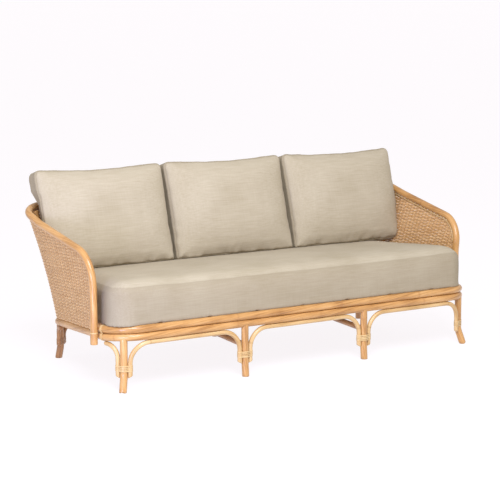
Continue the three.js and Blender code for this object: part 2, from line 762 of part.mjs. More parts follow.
// The seat cushion lies flat on the front rail and the deck poles, between the side walls.
const seatCushionHalfWidth = Math.min(frontCornerHalfWidth, armFrontHalfWidth) - seatCushionFrontGap;
const seatCushionRearHalfWidth = Math.min(rearCornerHalfWidth, armHalfWidth) - seatCushionSideGap;
const seatCushionFront = -seatCushionOverhang;
const seatCushionRear = seatDepth - seatCushionRearGap;
const seatRest = railStack + poleRadius + 2 * fitGap;
const seatLoop = seamLoop(
  [
    new THREE.Vector3(-seatCushionHalfWidth, seatCushionFront, 0),
    new THREE.Vector3(seatCushionHalfWidth, seatCushionFront, 0),
    new THREE.Vector3(seatCushionRearHalfWidth, seatCushionRear, 0),
    new THREE.Vector3(-seatCushionRearHalfWidth, seatCushionRear, 0),
  ],
  [seatCushionFrontCorner, seatCushionFrontCorner, seatCushionRearCorner, seatCushionRearCorner],
);
const seatLoops = cushionLoops(seatLoop, [
  ...faceLevels(0, 0, undersideReachShares),
  { reach: 1, grow: 0, height: cushionEdge, crown: 0 },
  { reach: 1, grow: cushionBulge, height: seatCushionThickness / 2, crown: 0 },
  ...rollLevels(seatCushionThickness, seatCushionRoll),
  ...faceLevels(seatCushionThickness, seatCushionCrown, faceReachShares, seatCushionRoll),
]);
const onDeck = (point) => new THREE.Vector3(point.x, point.y, seatLevel(point.y) + seatRest + point.z);
add('seat_cushion', skinOf(seatLoops.map((loop) => loop.map(onDeck))), linen);

// The back cushions lean against the top rail and are pressed flat where they stand on the seat cushion,
// behind the highest part of its crown.
const seatTop = seatRest + seatCushionThickness + seatCushionCrown * restCrownShare + fitGap;
const halfBoxing = backCushionBoxing / 2;
const backCushionFrontDepth = seatDepth - backCushionSetback;
const backCushionWidth = (2 * (armHalfWidth - backCushionArmGap - backCushionGap)) / 3;
const backCushionSqueeze = (armHalfWidth - rearCornerHalfWidth) * backCushionSqueezeShare;
const backCushionTuck = (armHalfWidth - rearCornerHalfWidth) * backCushionTuckShare;
const backLoop = seamLoop(
  [
    new THREE.Vector3(-backCushionWidth / 2, 0, 0),
    new THREE.Vector3(backCushionWidth / 2, 0, 0),
    new THREE.Vector3(backCushionWidth / 2, backCushionHeight, 0),
    new THREE.Vector3(-backCushionWidth / 2, backCushionHeight, 0),
  ],
  Array.from({ length: 4 }, () => backCushionCorner),
);
const backLoops = cushionLoops(backLoop, [
  ...faceLevels(-halfBoxing, -backCushionCrown, faceReachShares).reverse(),
  { reach: 1, grow: 0, height: cushionEdge - halfBoxing, crown: 0 },
  { reach: 1, grow: 0, height: halfBoxing - cushionEdge, crown: 0 },
  ...faceLevels(halfBoxing, backCushionCrown, faceReachShares),
]);

// Stands a back cushion up: its height runs up and back, and its front face looks forward.
function standCushion(middle, outerSide) {
  return (point) => {
    const low = Math.max(0, 1 - Math.max(point.y, 0) / backCushionSqueezeHeight);
    const outer = outerSide && Math.sign(point.x) === outerSide ? (2 * Math.abs(point.x)) / backCushionWidth : 0;
    const thick = halfBoxing - point.z;
    const below = Math.min(Math.max((backCushionTuckHeight - point.y) / backCushionTuckFade, 0), 1);
    const tuck = backCushionTuck * below * Math.min(Math.max(thick / backCushionBoxing, 0), 1);
    const x = middle + point.x - outerSide * outer * (backCushionSqueeze * low ** squeezePower + tuck);
    const y = backCushionFrontDepth + point.y * Math.sin(backCushionLean) + thick * Math.cos(backCushionLean);
    const base = seatLevel(backCushionFrontDepth) + seatTop;
    const z = base + point.y * Math.cos(backCushionLean) - thick * Math.sin(backCushionLean);
    return new THREE.Vector3(x, y, Math.max(z, seatLevel(y) + seatTop));
  };
}

const backCushionPitch = backCushionWidth + backCushionGap;
[['back_cushion_left', -1], ['back_cushion_middle', 0], ['back_cushion_right', 1]].forEach(([name, side]) => {
  const stand = standCushion(side * backCushionPitch, side);
  add(name, skinOf(backLoops.map((loop) => loop.map(stand))), linen);
});

const box = new THREE.Box3().setFromObject(sofa);
sofa.position.y = -(box.min.y + box.max.y) / 2;

export default sofa;
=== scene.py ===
"""Rattan garden sofa: cane poles, woven walls, peel bindings and cushions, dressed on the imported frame."""

import logging
import math
from dataclasses import dataclass, field
from enum import Enum
from functools import partial
from typing import Callable, Sequence

import bpy
import numpy as np
from mathutils import Matrix, Vector, noise
from mathutils.kdtree import KDTree


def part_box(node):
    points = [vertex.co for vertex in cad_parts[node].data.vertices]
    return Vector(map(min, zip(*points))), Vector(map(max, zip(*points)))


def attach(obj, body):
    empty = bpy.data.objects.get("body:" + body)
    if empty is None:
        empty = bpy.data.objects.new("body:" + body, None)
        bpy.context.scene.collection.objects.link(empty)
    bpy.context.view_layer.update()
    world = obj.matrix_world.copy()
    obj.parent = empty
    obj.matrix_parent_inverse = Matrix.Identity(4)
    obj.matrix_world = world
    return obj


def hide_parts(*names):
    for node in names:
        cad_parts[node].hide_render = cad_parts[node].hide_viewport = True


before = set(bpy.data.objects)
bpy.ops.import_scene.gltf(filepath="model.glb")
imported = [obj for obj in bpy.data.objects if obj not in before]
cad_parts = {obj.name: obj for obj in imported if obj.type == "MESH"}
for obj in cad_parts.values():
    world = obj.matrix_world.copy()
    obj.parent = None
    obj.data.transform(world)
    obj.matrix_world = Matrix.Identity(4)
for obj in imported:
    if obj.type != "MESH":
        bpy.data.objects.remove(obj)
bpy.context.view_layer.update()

UP = np.array([0.0, 0.0, 1.0])
FRAME_BODY = "frame"
Array = np.ndarray
log = logging.getLogger("sofa")


# Small helpers


def unit(vector: Array) -> Array:
    """Return the vector, or each row of vectors, at length one."""
    return vector / np.linalg.norm(vector, axis=-1, keepdims=True)


def square_to(along: Array, direction: Array) -> Array:
    """Return each row of directions turned square to the line there."""
    return unit(direction - along * np.sum(along * direction, axis=1, keepdims=True))


def travelled(points: Array) -> Array:
    """Return the way along a line of points to each of them, from zero."""
    return np.concatenate([[0.0], np.cumsum(np.linalg.norm(np.diff(points, axis=0), axis=1))])


def closed(points: Array) -> Array:
    """Return a loop with its first two points again at its end, so that it closes smoothly."""
    return np.concatenate([points, points[:2]])


def fade(low: float, high: float, value: Array) -> Array:
    """Rise smoothly from 0 to 1 as the value goes from low to high.

    Args:
        low: Value at which the result is 0.
        high: Value at which the result is 1.
        value: The values to turn into shares.

    Returns:
        The shares, from 0 to 1.
    """
    share = np.clip((np.asarray(value) - low) / (high - low), 0.0, 1.0)
    return share * share * (3.0 - 2.0 * share)


def positions(mesh: bpy.types.Mesh) -> Array:
    """Read a mesh's points.

    Args:
        mesh: The mesh.

    Returns:
        Its points as rows.
    """
    flat = np.empty(len(mesh.vertices) * 3, dtype=np.float32)
    mesh.vertices.foreach_get("co", flat)
    return flat.reshape(-1, 3).astype(float)


def normals_of(mesh: bpy.types.Mesh) -> Array:
    """Read the normals at a mesh's points.

    Args:
        mesh: The mesh.

    Returns:
        The normals as rows.
    """
    flat = np.empty(len(mesh.vertices) * 3, dtype=np.float32)
    mesh.vertex_normals.foreach_get("vector", flat)
    return flat.reshape(-1, 3)


def place(mesh: bpy.types.Mesh, points: Array) -> None:
    """Move a mesh's points."""
    mesh.vertices.foreach_set("co", points.astype(np.float32).ravel())
    mesh.update()


def search_tree(points: Array) -> KDTree:
    """Sort points into a tree.

    Args:
        points: The points as rows.

    Returns:
        A tree that finds the nearest of them.
    """
    tree = KDTree(len(points))
    for i, point in enumerate(points):
        tree.insert(point, i)
    tree.balance()
    return tree


def linear(code: str) -> tuple[float, float, float, float]:
    """Turn an sRGB hex colour into Blender's linear colour, by the sRGB standard's own curve.

    Args:
        code: A hash and six hex digits.

    Returns:
        Linear red, green, blue and an alpha of 1.
    """
    shares = [int(code[i : i + 2], 16) / 255.0 for i in (1, 3, 5)]
    red, green, blue = (
        share / 12.92 if share <= 0.04045 else ((share + 0.055) / 1.055) ** 2.4 for share in shares
    )
    return red, green, blue, 1.0


def new_material(name: str) -> tuple[bpy.types.Material, bpy.types.NodeTree]:
    """Make an empty node material.

    Args:
        name: The material's name.

    Returns:
        The material and its node tree.
    """
    made = bpy.data.materials.new(name)
    made.use_nodes = True
    made.node_tree.nodes.clear()
    return made, made.node_tree


def add_node(
    tree: bpy.types.NodeTree,
    kind: str,
    links: dict | None = None,
    **settings: object,
) -> bpy.types.Node:
    """Add one shader node with its settings, values and links.

    Args:
        tree: The material's node tree.
        kind: Blender's name of the node type.
        links: Input name or number to a value, or to the output socket that feeds it.
        **settings: Properties of the node; "stops" gives a ramp's places and colours.

    Returns:
        The new node.
    """
    made = tree.nodes.new(kind)
    stops = settings.pop("stops", None)
    for key, value in settings.items():
        setattr(made, key, value)
    for i, (stop, colour) in enumerate(stops or ()):
        element = made.color_ramp.elements[i] if i < 2 else made.color_ramp.elements.new(stop)
        element.position = stop
        element.color = colour
    for key, value in (links or {}).items():
        if isinstance(value, bpy.types.NodeSocket):
            tree.links.new(value, made.inputs[key])
        else:
            made.inputs[key].default_value = value
    return made


# Routes


@dataclass(frozen=True)
class RoutePiece:
    """One straight or bent stretch of a route.

    A straight stretch has a radius of zero.
    """

    length: float
    start: Array
    along: Array
    side: Array
    radius: float


class Route:
    """A line through corner points, with a round bend at each inner one."""

    def __init__(self, corners: Sequence[Array], radii: Sequence[float]) -> None:
        """Lay the route out.

        Args:
            corners: The corner points, ends included.
            radii: The bend radius at each inner corner.
        """
        self.pieces: list[RoutePiece] = []
        start = corners[0]
        for before, corner, after, radius in zip(corners, corners[1:], corners[2:], radii):
            arriving = unit(corner - before)
            leaving = unit(after - corner)
            turn = math.acos(float(np.clip(arriving @ leaving, -1.0, 1.0)))
            reach = radius * math.tan(turn / 2.0)
            bend_start = corner - arriving * reach
            self._add_straight(start, bend_start)
            side = unit(leaving - arriving * float(arriving @ leaving))
            self.pieces.append(RoutePiece(radius * turn, bend_start, arriving, side, radius))
            start = corner + leaving * reach
        self._add_straight(start, corners[-1])
        self.length = sum(piece.length for piece in self.pieces)

    def _add_straight(self, start: Array, end: Array) -> None:
        """Add a straight stretch between two points."""
        length = float(np.linalg.norm(end - start))
        self.pieces.append(RoutePiece(length, start, unit(end - start), UP, 0.0))

    def start_of(self, index: int) -> float:
        """Return the way from the start of the route to the start of one stretch."""
        return sum(piece.length for piece in self.pieces[:index])

    def at(self, way: float) -> tuple[Array, Array]:
        """Find a place on the route.

        Args:
            way: Distance from the start, in metres.

        Returns:
            The point and the direction of the route there.
        """
        rest = min(max(way, 0.0), self.length)
        index = 0
        while index < len(self.pieces) - 1 and rest > self.pieces[index].length:
            rest -= self.pieces[index].length
            index += 1
        piece = self.pieces[index]
        if piece.radius == 0.0:
            return piece.start + piece.along * rest, piece.along
        angle = rest / piece.radius
        point = piece.start + piece.along * piece.radius * math.sin(angle)
        point = point + piece.side * piece.radius * (1.0 - math.cos(angle))
        return point, piece.along * math.cos(angle) + piece.side * math.sin(angle)

    def point(self, way: float) -> Array:
        """Return the point at a distance from the start."""
        return self.at(way)[0]

    def points(self, ways: Sequence[float]) -> Array:
        """Return the points at several distances as rows."""
        return np.array([self.point(way) for way in ways])


# Sizes in metres


@dataclass(frozen=True)
class FrameSizes:
    """Driving sizes of the bent-pole frame, in metres."""

    pole: float = 0.030
    brace: float = 0.019
    stretcher: float = 0.024
    bearer: float = 0.024
    upright: float = 0.022
    trim: float = 0.005
    fit_gap: float = 0.0003
    front_half_width: float = 0.897
    rear_half_width: float = 0.803
    seat_depth: float = 0.725
    front_height: float = 0.218
    rear_height: float = 0.162
    front_corner: float = 0.124
    rear_corner: float = 0.080
    rail_joint_setback: float = 0.040
    upper_rail_overlap: float = 0.012
    post_foot_height: float = 0.175
    post_lean_height: float = 0.400
    arm_front_height: float = 0.527
    arm_rise_height: float = 0.608
    back_rail_height: float = 0.657
    arm_front_half_width: float = 0.921
    arm_half_width: float = 0.936
    arm_rise_depth: float = 0.570
    back_rail_depth: float = 0.762
    post_lean_radius: float = 0.300
    arm_bend_radius: float = 0.115
    arm_rise_radius: float = 0.150
    back_corner_radius: float = 0.120
    front_bearer_depth: float = 0.150
    rear_bearer_depth: float = 0.460
    deck_spacing: float = 0.225
    deck_count: int = 7
    wall_thickness: float = 0.005
    wall_bow_share: float = 0.3


class Skeleton:
    """The two routes that the whole frame hangs on."""

    def __init__(self, sizes: FrameSizes) -> None:
        """Lay out the seat ring and the top rail.

        Args:
            sizes: The frame's driving sizes.
        """
        self.sizes = sizes
        low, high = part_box("bearer_front")
        self.front_y = (low.y + high.y) / 2.0 - sizes.front_bearer_depth
        self.slope = (sizes.front_height - sizes.rear_height) / sizes.seat_depth
        self.stack = sizes.pole + sizes.fit_gap
        self.ring = self._ring_route()
        self.front_bend_start = self.ring.start_of(1)
        self.front_bend_end = self.ring.start_of(2)
        self.rear_bend_start = self.ring.start_of(3)
        self.rear_bend_end = self.ring.start_of(4)
        self.back_middle = self.ring.length / 2.0
        self.post_way = self.front_bend_end
        self.top = self._top_route()
        self.arm_bend_start = self.top.start_of(3)
        self.back_corner_start = self.top.start_of(7)
        self.back_corner_end = self.top.start_of(8)

    def _ring_route(self) -> Route:
        """Lay out the seat ring, from the middle of its front round to the right.

        Returns:
            The ring's route.
        """
        sizes = self.sizes
        front, rear, depth = sizes.front_half_width, sizes.rear_half_width, sizes.seat_depth
        plan = [(0.0, 0.0), (front, 0.0), (rear, depth), (-rear, depth), (-front, 0.0), (0.0, 0.0)]
        radii = [sizes.front_corner, sizes.rear_corner, sizes.rear_corner, sizes.front_corner]
        return Route([self.on_seat_plane(x, y) for x, y in plan], radii)

    def _top_route(self) -> Route:
        """Lay out the top rail, from the right post's foot over both arms to the left post's foot.

        Returns:
            The top rail's route.
        """
        sizes, y = self.sizes, self.front_y
        post = self.ring.point(self.post_way) + self.ring_outward(self.post_way) * self.stack
        half = [
            np.array([post[0], post[1], sizes.post_foot_height]),
            np.array([post[0], post[1], sizes.post_lean_height]),
            np.array([sizes.arm_front_half_width, post[1], sizes.arm_front_height]),
            np.array([sizes.arm_half_width, y + sizes.arm_rise_depth, sizes.arm_rise_height]),
            np.array([sizes.arm_half_width, y + sizes.back_rail_depth, sizes.back_rail_height]),
        ]
        other_half = [point * np.array([-1.0, 1.0, 1.0]) for point in reversed(half)]
        radii = [
            sizes.post_lean_radius,
            sizes.arm_bend_radius,
            sizes.arm_rise_radius,
            sizes.back_corner_radius,
        ]
        return Route([*half, *other_half], [*radii, *reversed(radii)])

    def seat_level(self, depth: float) -> float:
        """Return the height of the ring's middle line at a depth behind the front rail."""
        return self.sizes.front_height - self.slope * depth

    def on_seat_plane(self, x: float, depth: float, rise: float = 0.0) -> Array:
        """Return a point on the sloping plane of the seat ring."""
        return np.array([x, self.front_y + depth, self.seat_level(depth) + rise])

    def mirrored(self, way: float) -> float:
        """Return the same place on the other side of the ring."""
        return self.ring.length - way

    def ring_point(self, way: float, rise: float = 0.0) -> Array:
        """Return a point over the ring; the way may be negative or past the end."""
        return self.ring.point(way % self.ring.length) + UP * rise

    def ring_along(self, way: float) -> Array:
        """Return the direction of the ring; the way may be negative or past the end."""
        return self.ring.at(way % self.ring.length)[1]

    def ring_outward(self, way: float) -> Array:
        """Return the level direction that points out of the ring."""
        along = self.ring_along(way)
        return unit(np.array([along[1], -along[0], 0.0]))

    def top_outward(self, way: float) -> Array:
        """Find the level direction that points out of the sofa at the top rail.

        Args:
            way: Distance along the top rail.

        Returns:
            Straight out to the side at posts and arms, and square to the rail behind them.
        """
        point, along = self.top.at(way)
        if point[1] < self.front_y + self.sizes.arm_rise_depth:
            return np.array([math.copysign(1.0, point[0]), 0.0, 0.0])
        return unit(np.array([along[1], -along[0], 0.0]))

    def top_inward(self, way: float) -> Array:
        """Return the direction from the top rail into the wall below it."""
        return unit(np.cross(self.top.at(way)[1], self.top_outward(way)))


# Meshes


SHARP_ANGLE = math.radians(50.0)
NEARLY_UP = UP + 0.01  # lies along no pole, upright ones included


@dataclass
class Skins:
    """Collects the skins of one piece before they become a Blender mesh."""

    verts: list[Array] = field(default_factory=list)
    quads: list[Array] = field(default_factory=list)
    caps: list[list[int]] = field(default_factory=list)
    layers: dict[str, list[Array]] = field(default_factory=dict)
    count: int = 0

    def add(self, verts: Array, quads: Array, caps: Sequence[Sequence[int]], **layers: Array) -> None:
        """Add one skin.

        Args:
            verts: Points as rows.
            quads: Four corner numbers a row.
            caps: Other faces, as lists of corner numbers.
            **layers: A value or a vector for each point, by layer name.
        """
        self.verts.append(verts)
        self.quads.append(np.asarray(quads) + self.count)
        self.caps.extend([[index + self.count for index in cap] for cap in caps])
        for name, values in layers.items():
            self.layers.setdefault(name, []).append(values)
        self.count += len(verts)

    def build(self, name: str) -> bpy.types.Object:
        """Make the mesh object.

        Args:
            name: The piece's name.

        Returns:
            The new object, linked to the scene and smooth-shaded, with sharp cut edges.
        """
        mesh = bpy.data.meshes.new(name)
        points, quads = np.concatenate(self.verts), np.concatenate(self.quads)
        cap_corners = [index for cap in self.caps for index in cap]
        sizes = np.concatenate([np.full(len(quads), 4), [len(cap) for cap in self.caps]]).astype(np.int32)
        corners = np.concatenate([quads.ravel(), cap_corners]).astype(np.int32)
        mesh.vertices.add(len(points))
        mesh.vertices.foreach_set("co", points.astype(np.float32).ravel())
        mesh.loops.add(len(corners))
        mesh.loops.foreach_set("vertex_index", corners)
        mesh.polygons.add(len(sizes))
        mesh.polygons.foreach_set("loop_start", (np.cumsum(sizes) - sizes).astype(np.int32))
        mesh.update(calc_edges=True)
        for layer, blocks in self.layers.items():
            values = np.concatenate(blocks).astype(np.float32)
            kind, key = ("FLOAT_VECTOR", "vector") if values.ndim == 2 else ("FLOAT", "value")
            mesh.attributes.new(layer, kind, "POINT").data.foreach_set(key, values.ravel())
        mesh.shade_smooth()
        mesh.set_sharp_from_angle(angle=SHARP_ANGLE)
        made = bpy.data.objects.new(name, mesh)
        bpy.context.scene.collection.objects.link(made)
        return made


def carried_frames(points: Array) -> tuple[Array, Array, Array]:
    """Carry a cross-section's axes along a line without twisting it.

    Args:
        points: The line's points as rows.

    Returns:
        The directions along the line, and the two axes across it.
    """
    along = unit(np.gradient(points, axis=0))
    side = np.cross(along[0], NEARLY_UP)
    sides = []
    for direction in along:
        side = unit(side - direction * float(direction @ side))
        sides.append(side)
    across = np.array(sides)
    return along, across, np.cross(along, across)


def swept(points: Array, section: Array, first: Array, second: Array) -> Array:
    """Carry a section along a line.

    Args:
        points: The line's points as rows.
        section: The section's points as rows, in two axes of its own.
        first: Direction of the section's first axis at each point of the line.
        second: Direction of its second axis there.

    Returns:
        The skin's points as rows, ring after ring.
    """
    rings = points[:, None, :] + section[None, :, :1] * first[:, None, :]
    return (rings + section[None, :, 1:] * second[:, None, :]).reshape(-1, 3)


def tube_faces(rings: int, sides: int, flipped: bool = False) -> tuple[Array, list[list[int]]]:
    """Number the faces of a tube over rings of points.

    Args:
        rings: How many rings there are.
        sides: Points in each ring.
        flipped: Whether the rings run the other way round, so that each face is turned over.

    Returns:
        The quads as rows, and the faces that close the first and the last ring.
    """
    k = np.arange(rings - 1)[:, None] * sides
    i = np.arange(sides)[None, :]
    j = (i + 1) % sides
    quads = np.stack([k + i, k + j, k + j + sides, k + i + sides], axis=-1).reshape(-1, 4)
    caps = [list(range(sides))[::-1], list(range((rings - 1) * sides, rings * sides))]
    if flipped:
        return quads[:, ::-1], [cap[::-1] for cap in caps]
    return quads, caps


def section_grain(ways: Array, section: Array) -> Array:
    """Return the grain at each point of a skin: the way along it and the place in its section."""
    return np.column_stack([np.repeat(ways, len(section)), np.tile(section, (len(ways), 1))])


GRAIN_TWIST = 8.0  # radians a metre: the fibres of a steamed pole run slightly round it
SLANT_FADE = 4.5  # a slanted cut moves the pole's skin over this many times its own reach


def round_skin(
    skins: Skins,
    points: Array,
    radii: Array,
    sides: int,
    grain_start: float,
    knots: Array | None = None,
    slants: tuple[Array | None, Array | None] = (None, None),
) -> None:
    """Skin a round pole.

    Args:
        skins: The piece that gets the skin.
        points: The pole's middle line as rows.
        radii: Its radius at each point.
        sides: Faces round it.
        grain_start: Where its grain starts, so that no two poles look the same.
        knots: How near each point is to one of its knots, from 0 to 1.
        slants: For each end, the direction and amount that a slanted cut moves its edge.
    """
    steps = travelled(points)
    along, across, over = carried_frames(points)
    angles = np.arange(sides) * 2.0 * math.pi / sides
    spokes = np.cos(angles)[None, :, None] * across[:, None, :]
    spokes = spokes + np.sin(angles)[None, :, None] * over[:, None, :]
    verts = points[:, None, :] + spokes * radii[:, None, None]
    for end, slant in zip((0, -1), slants):
        if slant is None:
            continue
        reach = SLANT_FADE * float(np.linalg.norm(slant)) * float(radii[end])
        near = np.clip(1.0 - np.abs(steps - steps[end]) / reach, 0.0, 1.0)
        lean = (verts - points[:, None, :]) @ slant
        verts = verts + (lean * near[:, None])[..., None] * along[:, None, :]
    twisted = angles[None, :] + GRAIN_TWIST * steps[:, None]
    around = [(turn * radii[:, None]).ravel() for turn in (np.cos(twisted), np.sin(twisted))]
    grain = np.stack([np.repeat(steps + grain_start, sides), *around], axis=-1)
    knot = np.repeat(knots if knots is not None else np.zeros(len(points)), sides)
    skins.add(verts.reshape(-1, 3), *tube_faces(len(points), sides), grain=grain, knot=knot)


@dataclass(frozen=True)
class PoleGrowth:
    """How a rattan stem varies along its length, and how its ends are worked, in metres."""

    first_knot: float = 0.05
    knot_spacing: float = 0.52
    knot_scatter: float = 0.10
    end_margin: float = 0.03
    knot_swell: float = 0.0003
    knot_reach: float = 0.004
    knot_shade: float = 0.45
    drift: float = 0.0002
    drift_turn: float = 9.0
    drift_start: float = 6.0
    edge: float = 0.0025
    edge_share: float = 0.9
    step: float = 0.012
    least_step: float = 0.0004


GROWTH = PoleGrowth()
KNOT_RINGS = np.array([-2.0, -1.0, -0.4, 0.0, 0.4, 1.0, 2.0]) * GROWTH.knot_reach
EDGE_RINGS = np.array([0.0, 0.3, 1.0]) * GROWTH.edge
GRAIN_RANGE = 40.0


def pole_rings(length: float, places: Array) -> Array:
    """Set out the rings of a pole, closer together at its knots and its ends.

    Args:
        length: The pole's length.
        places: Its knots' distances from the start.

    Returns:
        The rings' distances from the start.
    """
    count = max(2, math.ceil(length / GROWTH.step) + 1)
    near = (places[:, None] + KNOT_RINGS).ravel()
    ways = np.concatenate([np.linspace(0.0, length, count), near, EDGE_RINGS, length - EDGE_RINGS])
    ways = np.unique(ways)
    ways = ways[np.concatenate([[True], np.diff(ways) > GROWTH.least_step])]
    ways[-1] = length
    return ways


def pole(
    name: str,
    line: Callable[[float], Array],
    length: float,
    diameter: float,
    seed: int,
    sides: int = 20,
    slants: tuple[Array | None, Array | None] = (None, None),
) -> bpy.types.Object:
    """Make one rattan pole, with its knots and the broken edge of its sawn ends.

    Args:
        name: The piece's name.
        line: Gives the point of the middle line at a distance from the start.
        length: The pole's length.
        diameter: Its diameter.
        seed: Number that sets its knots and grain.
        sides: Faces round it.
        slants: The direction and amount of a slanted cut at each end.

    Returns:
        The new object.
    """
    rng = np.random.default_rng(seed)
    places = np.arange(GROWTH.first_knot, length, GROWTH.knot_spacing)
    places = places + rng.uniform(-GROWTH.knot_scatter, GROWTH.knot_scatter, len(places))
    places = places[(places > GROWTH.end_margin) & (places < length - GROWTH.end_margin)]
    ways = pole_rings(length, places)
    knots = np.zeros(len(ways))
    if len(places):
        from_knot = np.abs(ways[:, None] - places[None, :]).min(axis=1)
        knots = np.exp(-((from_knot / GROWTH.knot_reach) ** 2))
    drift = GROWTH.drift * np.sin(ways * GROWTH.drift_turn + rng.uniform(0.0, GROWTH.drift_start))
    radii = diameter / 2.0 + knots * GROWTH.knot_swell + drift
    for from_end in (ways, length - ways):
        inside = np.clip(1.0 - from_end / GROWTH.edge, 0.0, 1.0)
        radii = radii - GROWTH.edge * (1.0 - np.sqrt(1.0 - inside**2)) * GROWTH.edge_share
    points = np.array([line(way) for way in ways])
    grain_start = float(rng.uniform(0.0, GRAIN_RANGE))
    skins = Skins()
    round_skin(skins, points, radii, sides, grain_start, knots * GROWTH.knot_shade, slants)
    return skins.build(name)


STRIP_SHARES = np.array(
    [[-1.0, 0.0], [-1.0, 0.55], [-0.55, 0.93], [0.0, 1.0], [0.55, 0.93], [1.0, 0.55], [1.0, 0.0]]
)  # shares of half the width and of the thickness: flat below, slightly domed above


def strip_skin(
    skins: Skins,
    points: Array,
    outward: Array,
    width: float,
    thickness: float,
    grain_start: float,
) -> None:
    """Skin a flat strip that lies on something, with a slightly domed outer face.

    Args:
        skins: The piece that gets the skin.
        points: The middle line of the strip's inner face.
        outward: At each point, the direction away from what it lies on.
        width: The strip's width.
        thickness: Its thickness.
        grain_start: Where its grain starts.
    """
    along = unit(np.gradient(points, axis=0))
    outward = square_to(along, outward)
    section = STRIP_SHARES * np.array([width / 2.0, thickness])
    verts = swept(points, section, np.cross(along, outward), outward)
    grain = section_grain(travelled(points) + grain_start, section)
    faces = tube_faces(len(points), len(section), flipped=True)
    skins.add(verts, *faces, grain=grain, knot=np.zeros(len(grain)))


TURN_ANGLES = np.linspace(0.0, 2.0 * math.pi, 73)[:-1]
TANGENT_ANGLES = np.linspace(0.0, 2.0 * math.pi, 361)[:-1]
LEAST_LEAN = 0.05  # tangents that lean less than this towards a ray don't bound it
BEYOND_ALL = 9.0
STRIP_PLAY = 0.0004


def wound_outline(centres: Sequence[Array], radii: Sequence[float], hollow_share: float) -> Array:
    """Find the line of a strip wound tight round several poles.

    Args:
        centres: The poles' centres across the bundle.
        radii: Their radii.
        hollow_share: How far the strip sinks into the hollows between the poles.

    Returns:
        The line's points as rows, anticlockwise, one for each of the turn's angles.
    """
    middle = np.mean(centres, axis=0)
    rays = np.column_stack([np.cos(TURN_ANGLES), np.sin(TURN_ANGLES)])
    normals = np.column_stack([np.cos(TANGENT_ANGLES), np.sin(TANGENT_ANGLES)])
    reaches = [normals @ (centre - middle) + radius for centre, radius in zip(centres, radii)]
    lean = rays @ normals.T
    bounds = np.max(reaches, axis=0)[None, :] / np.maximum(lean, LEAST_LEAN)
    hull = np.min(np.where(lean > LEAST_LEAN, bounds, BEYOND_ALL), axis=1)
    bare = np.zeros(len(rays))
    for centre, radius in zip(centres, radii):
        offset = rays @ (centre - middle)
        square = radius**2 - (np.sum((centre - middle) ** 2) - offset**2)
        there = np.where(square > 0.0, offset + np.sqrt(np.maximum(square, 0.0)), 0.0)
        bare = np.maximum(bare, there)
    line = hull - (hull - bare) * hollow_share
    line = np.convolve(np.concatenate([line[-1:], line, line[:1]]), [0.25, 0.5, 0.25], "valid")
    line = np.maximum(line, bare)
    return middle + rays * (line + STRIP_PLAY)[:, None]


# Finishes


@dataclass(frozen=True)
class PoleFinish:
    """Peeled rattan, sanded and sprayed with a clear satin lacquer.

    Long fibres streak the colour and knots ring it; on the woven core the same mix paints shade where strands
    cross. The thin lacquer gives a soft gloss along the pole.
    """

    name: str
    light: str
    middle: str
    dark: str
    knot: str
    roughness: float
    streak_mm: float = 3.5
    streak_length_mm: float = 160.0
    mottle_mm: float = 55.0
    fibre_mm: float = 0.9

    def material(self) -> bpy.types.Material:
        """Make the material.

        Returns:
            The new material.
        """
        made, tree = new_material(self.name)
        grain = add_node(tree, "ShaderNodeAttribute", attribute_name="grain")
        knot = add_node(tree, "ShaderNodeAttribute", attribute_name="knot")

        def stretched(width_mm: float, length_mm: float, detail: float) -> bpy.types.NodeSocket:
            """Add noise that is drawn out along the pole.

            Args:
                width_mm: Width of its patches.
                length_mm: Their length.
                detail: Its detail.

            Returns:
                The noise.
            """
            scale = (1000.0 / length_mm, 1000.0 / width_mm, 1000.0 / width_mm)
            mapping = add_node(tree, "ShaderNodeMapping", {"Vector": grain.outputs["Vector"], "Scale": scale})
            links = {"Vector": mapping.outputs["Vector"], "Scale": 1.0, "Detail": detail, "Roughness": 0.55}
            return add_node(tree, "ShaderNodeTexNoise", links).outputs["Fac"]

        streaks = stretched(self.streak_mm, self.streak_length_mm, 3.0)
        mottle = stretched(self.mottle_mm, 2.4 * self.mottle_mm, 2.0)
        fibres = stretched(self.fibre_mm, 60.0 * self.fibre_mm, 2.0)
        blend = add_node(tree, "ShaderNodeMix", {0: 0.45, 2: streaks, 3: mottle}, data_type="FLOAT")
        stops = [(0.36, linear(self.dark)), (0.66, linear(self.light)), (0.50, linear(self.middle))]
        colour = add_node(tree, "ShaderNodeValToRGB", {"Fac": blend.outputs[0]}, stops=stops)
        # on poles this mix rings the knots; on the woven core it paints shade where strands cross
        links = {0: knot.outputs["Fac"], 6: colour.outputs["Color"], 7: linear(self.knot)}
        knotted_and_shaded = add_node(tree, "ShaderNodeMix", links, data_type="RGBA", blend_type="MIX")
        links = {
            "Value": fibres,
            "From Min": 0.3,
            "From Max": 0.7,
            "To Min": self.roughness - 0.05,
            "To Max": self.roughness + 0.09,
        }
        gloss = add_node(tree, "ShaderNodeMapRange", links)
        bump = add_node(tree, "ShaderNodeBump", {"Height": fibres, "Strength": 0.35, "Distance": 0.0004})
        links = {
            "Base Color": knotted_and_shaded.outputs[2],
            "Roughness": gloss.outputs["Result"],
            "Normal": bump.outputs["Normal"],
            "IOR": 1.5,
            "Coat Weight": 0.35,
            "Coat Roughness": 0.22,
        }
        shader = add_node(tree, "ShaderNodeBsdfPrincipled", links)
        add_node(tree, "ShaderNodeOutputMaterial", {"Surface": shader.outputs["BSDF"]})
        return made


WAVE_BANDS = 3.18  # bands in a metre of a wave texture at scale 1


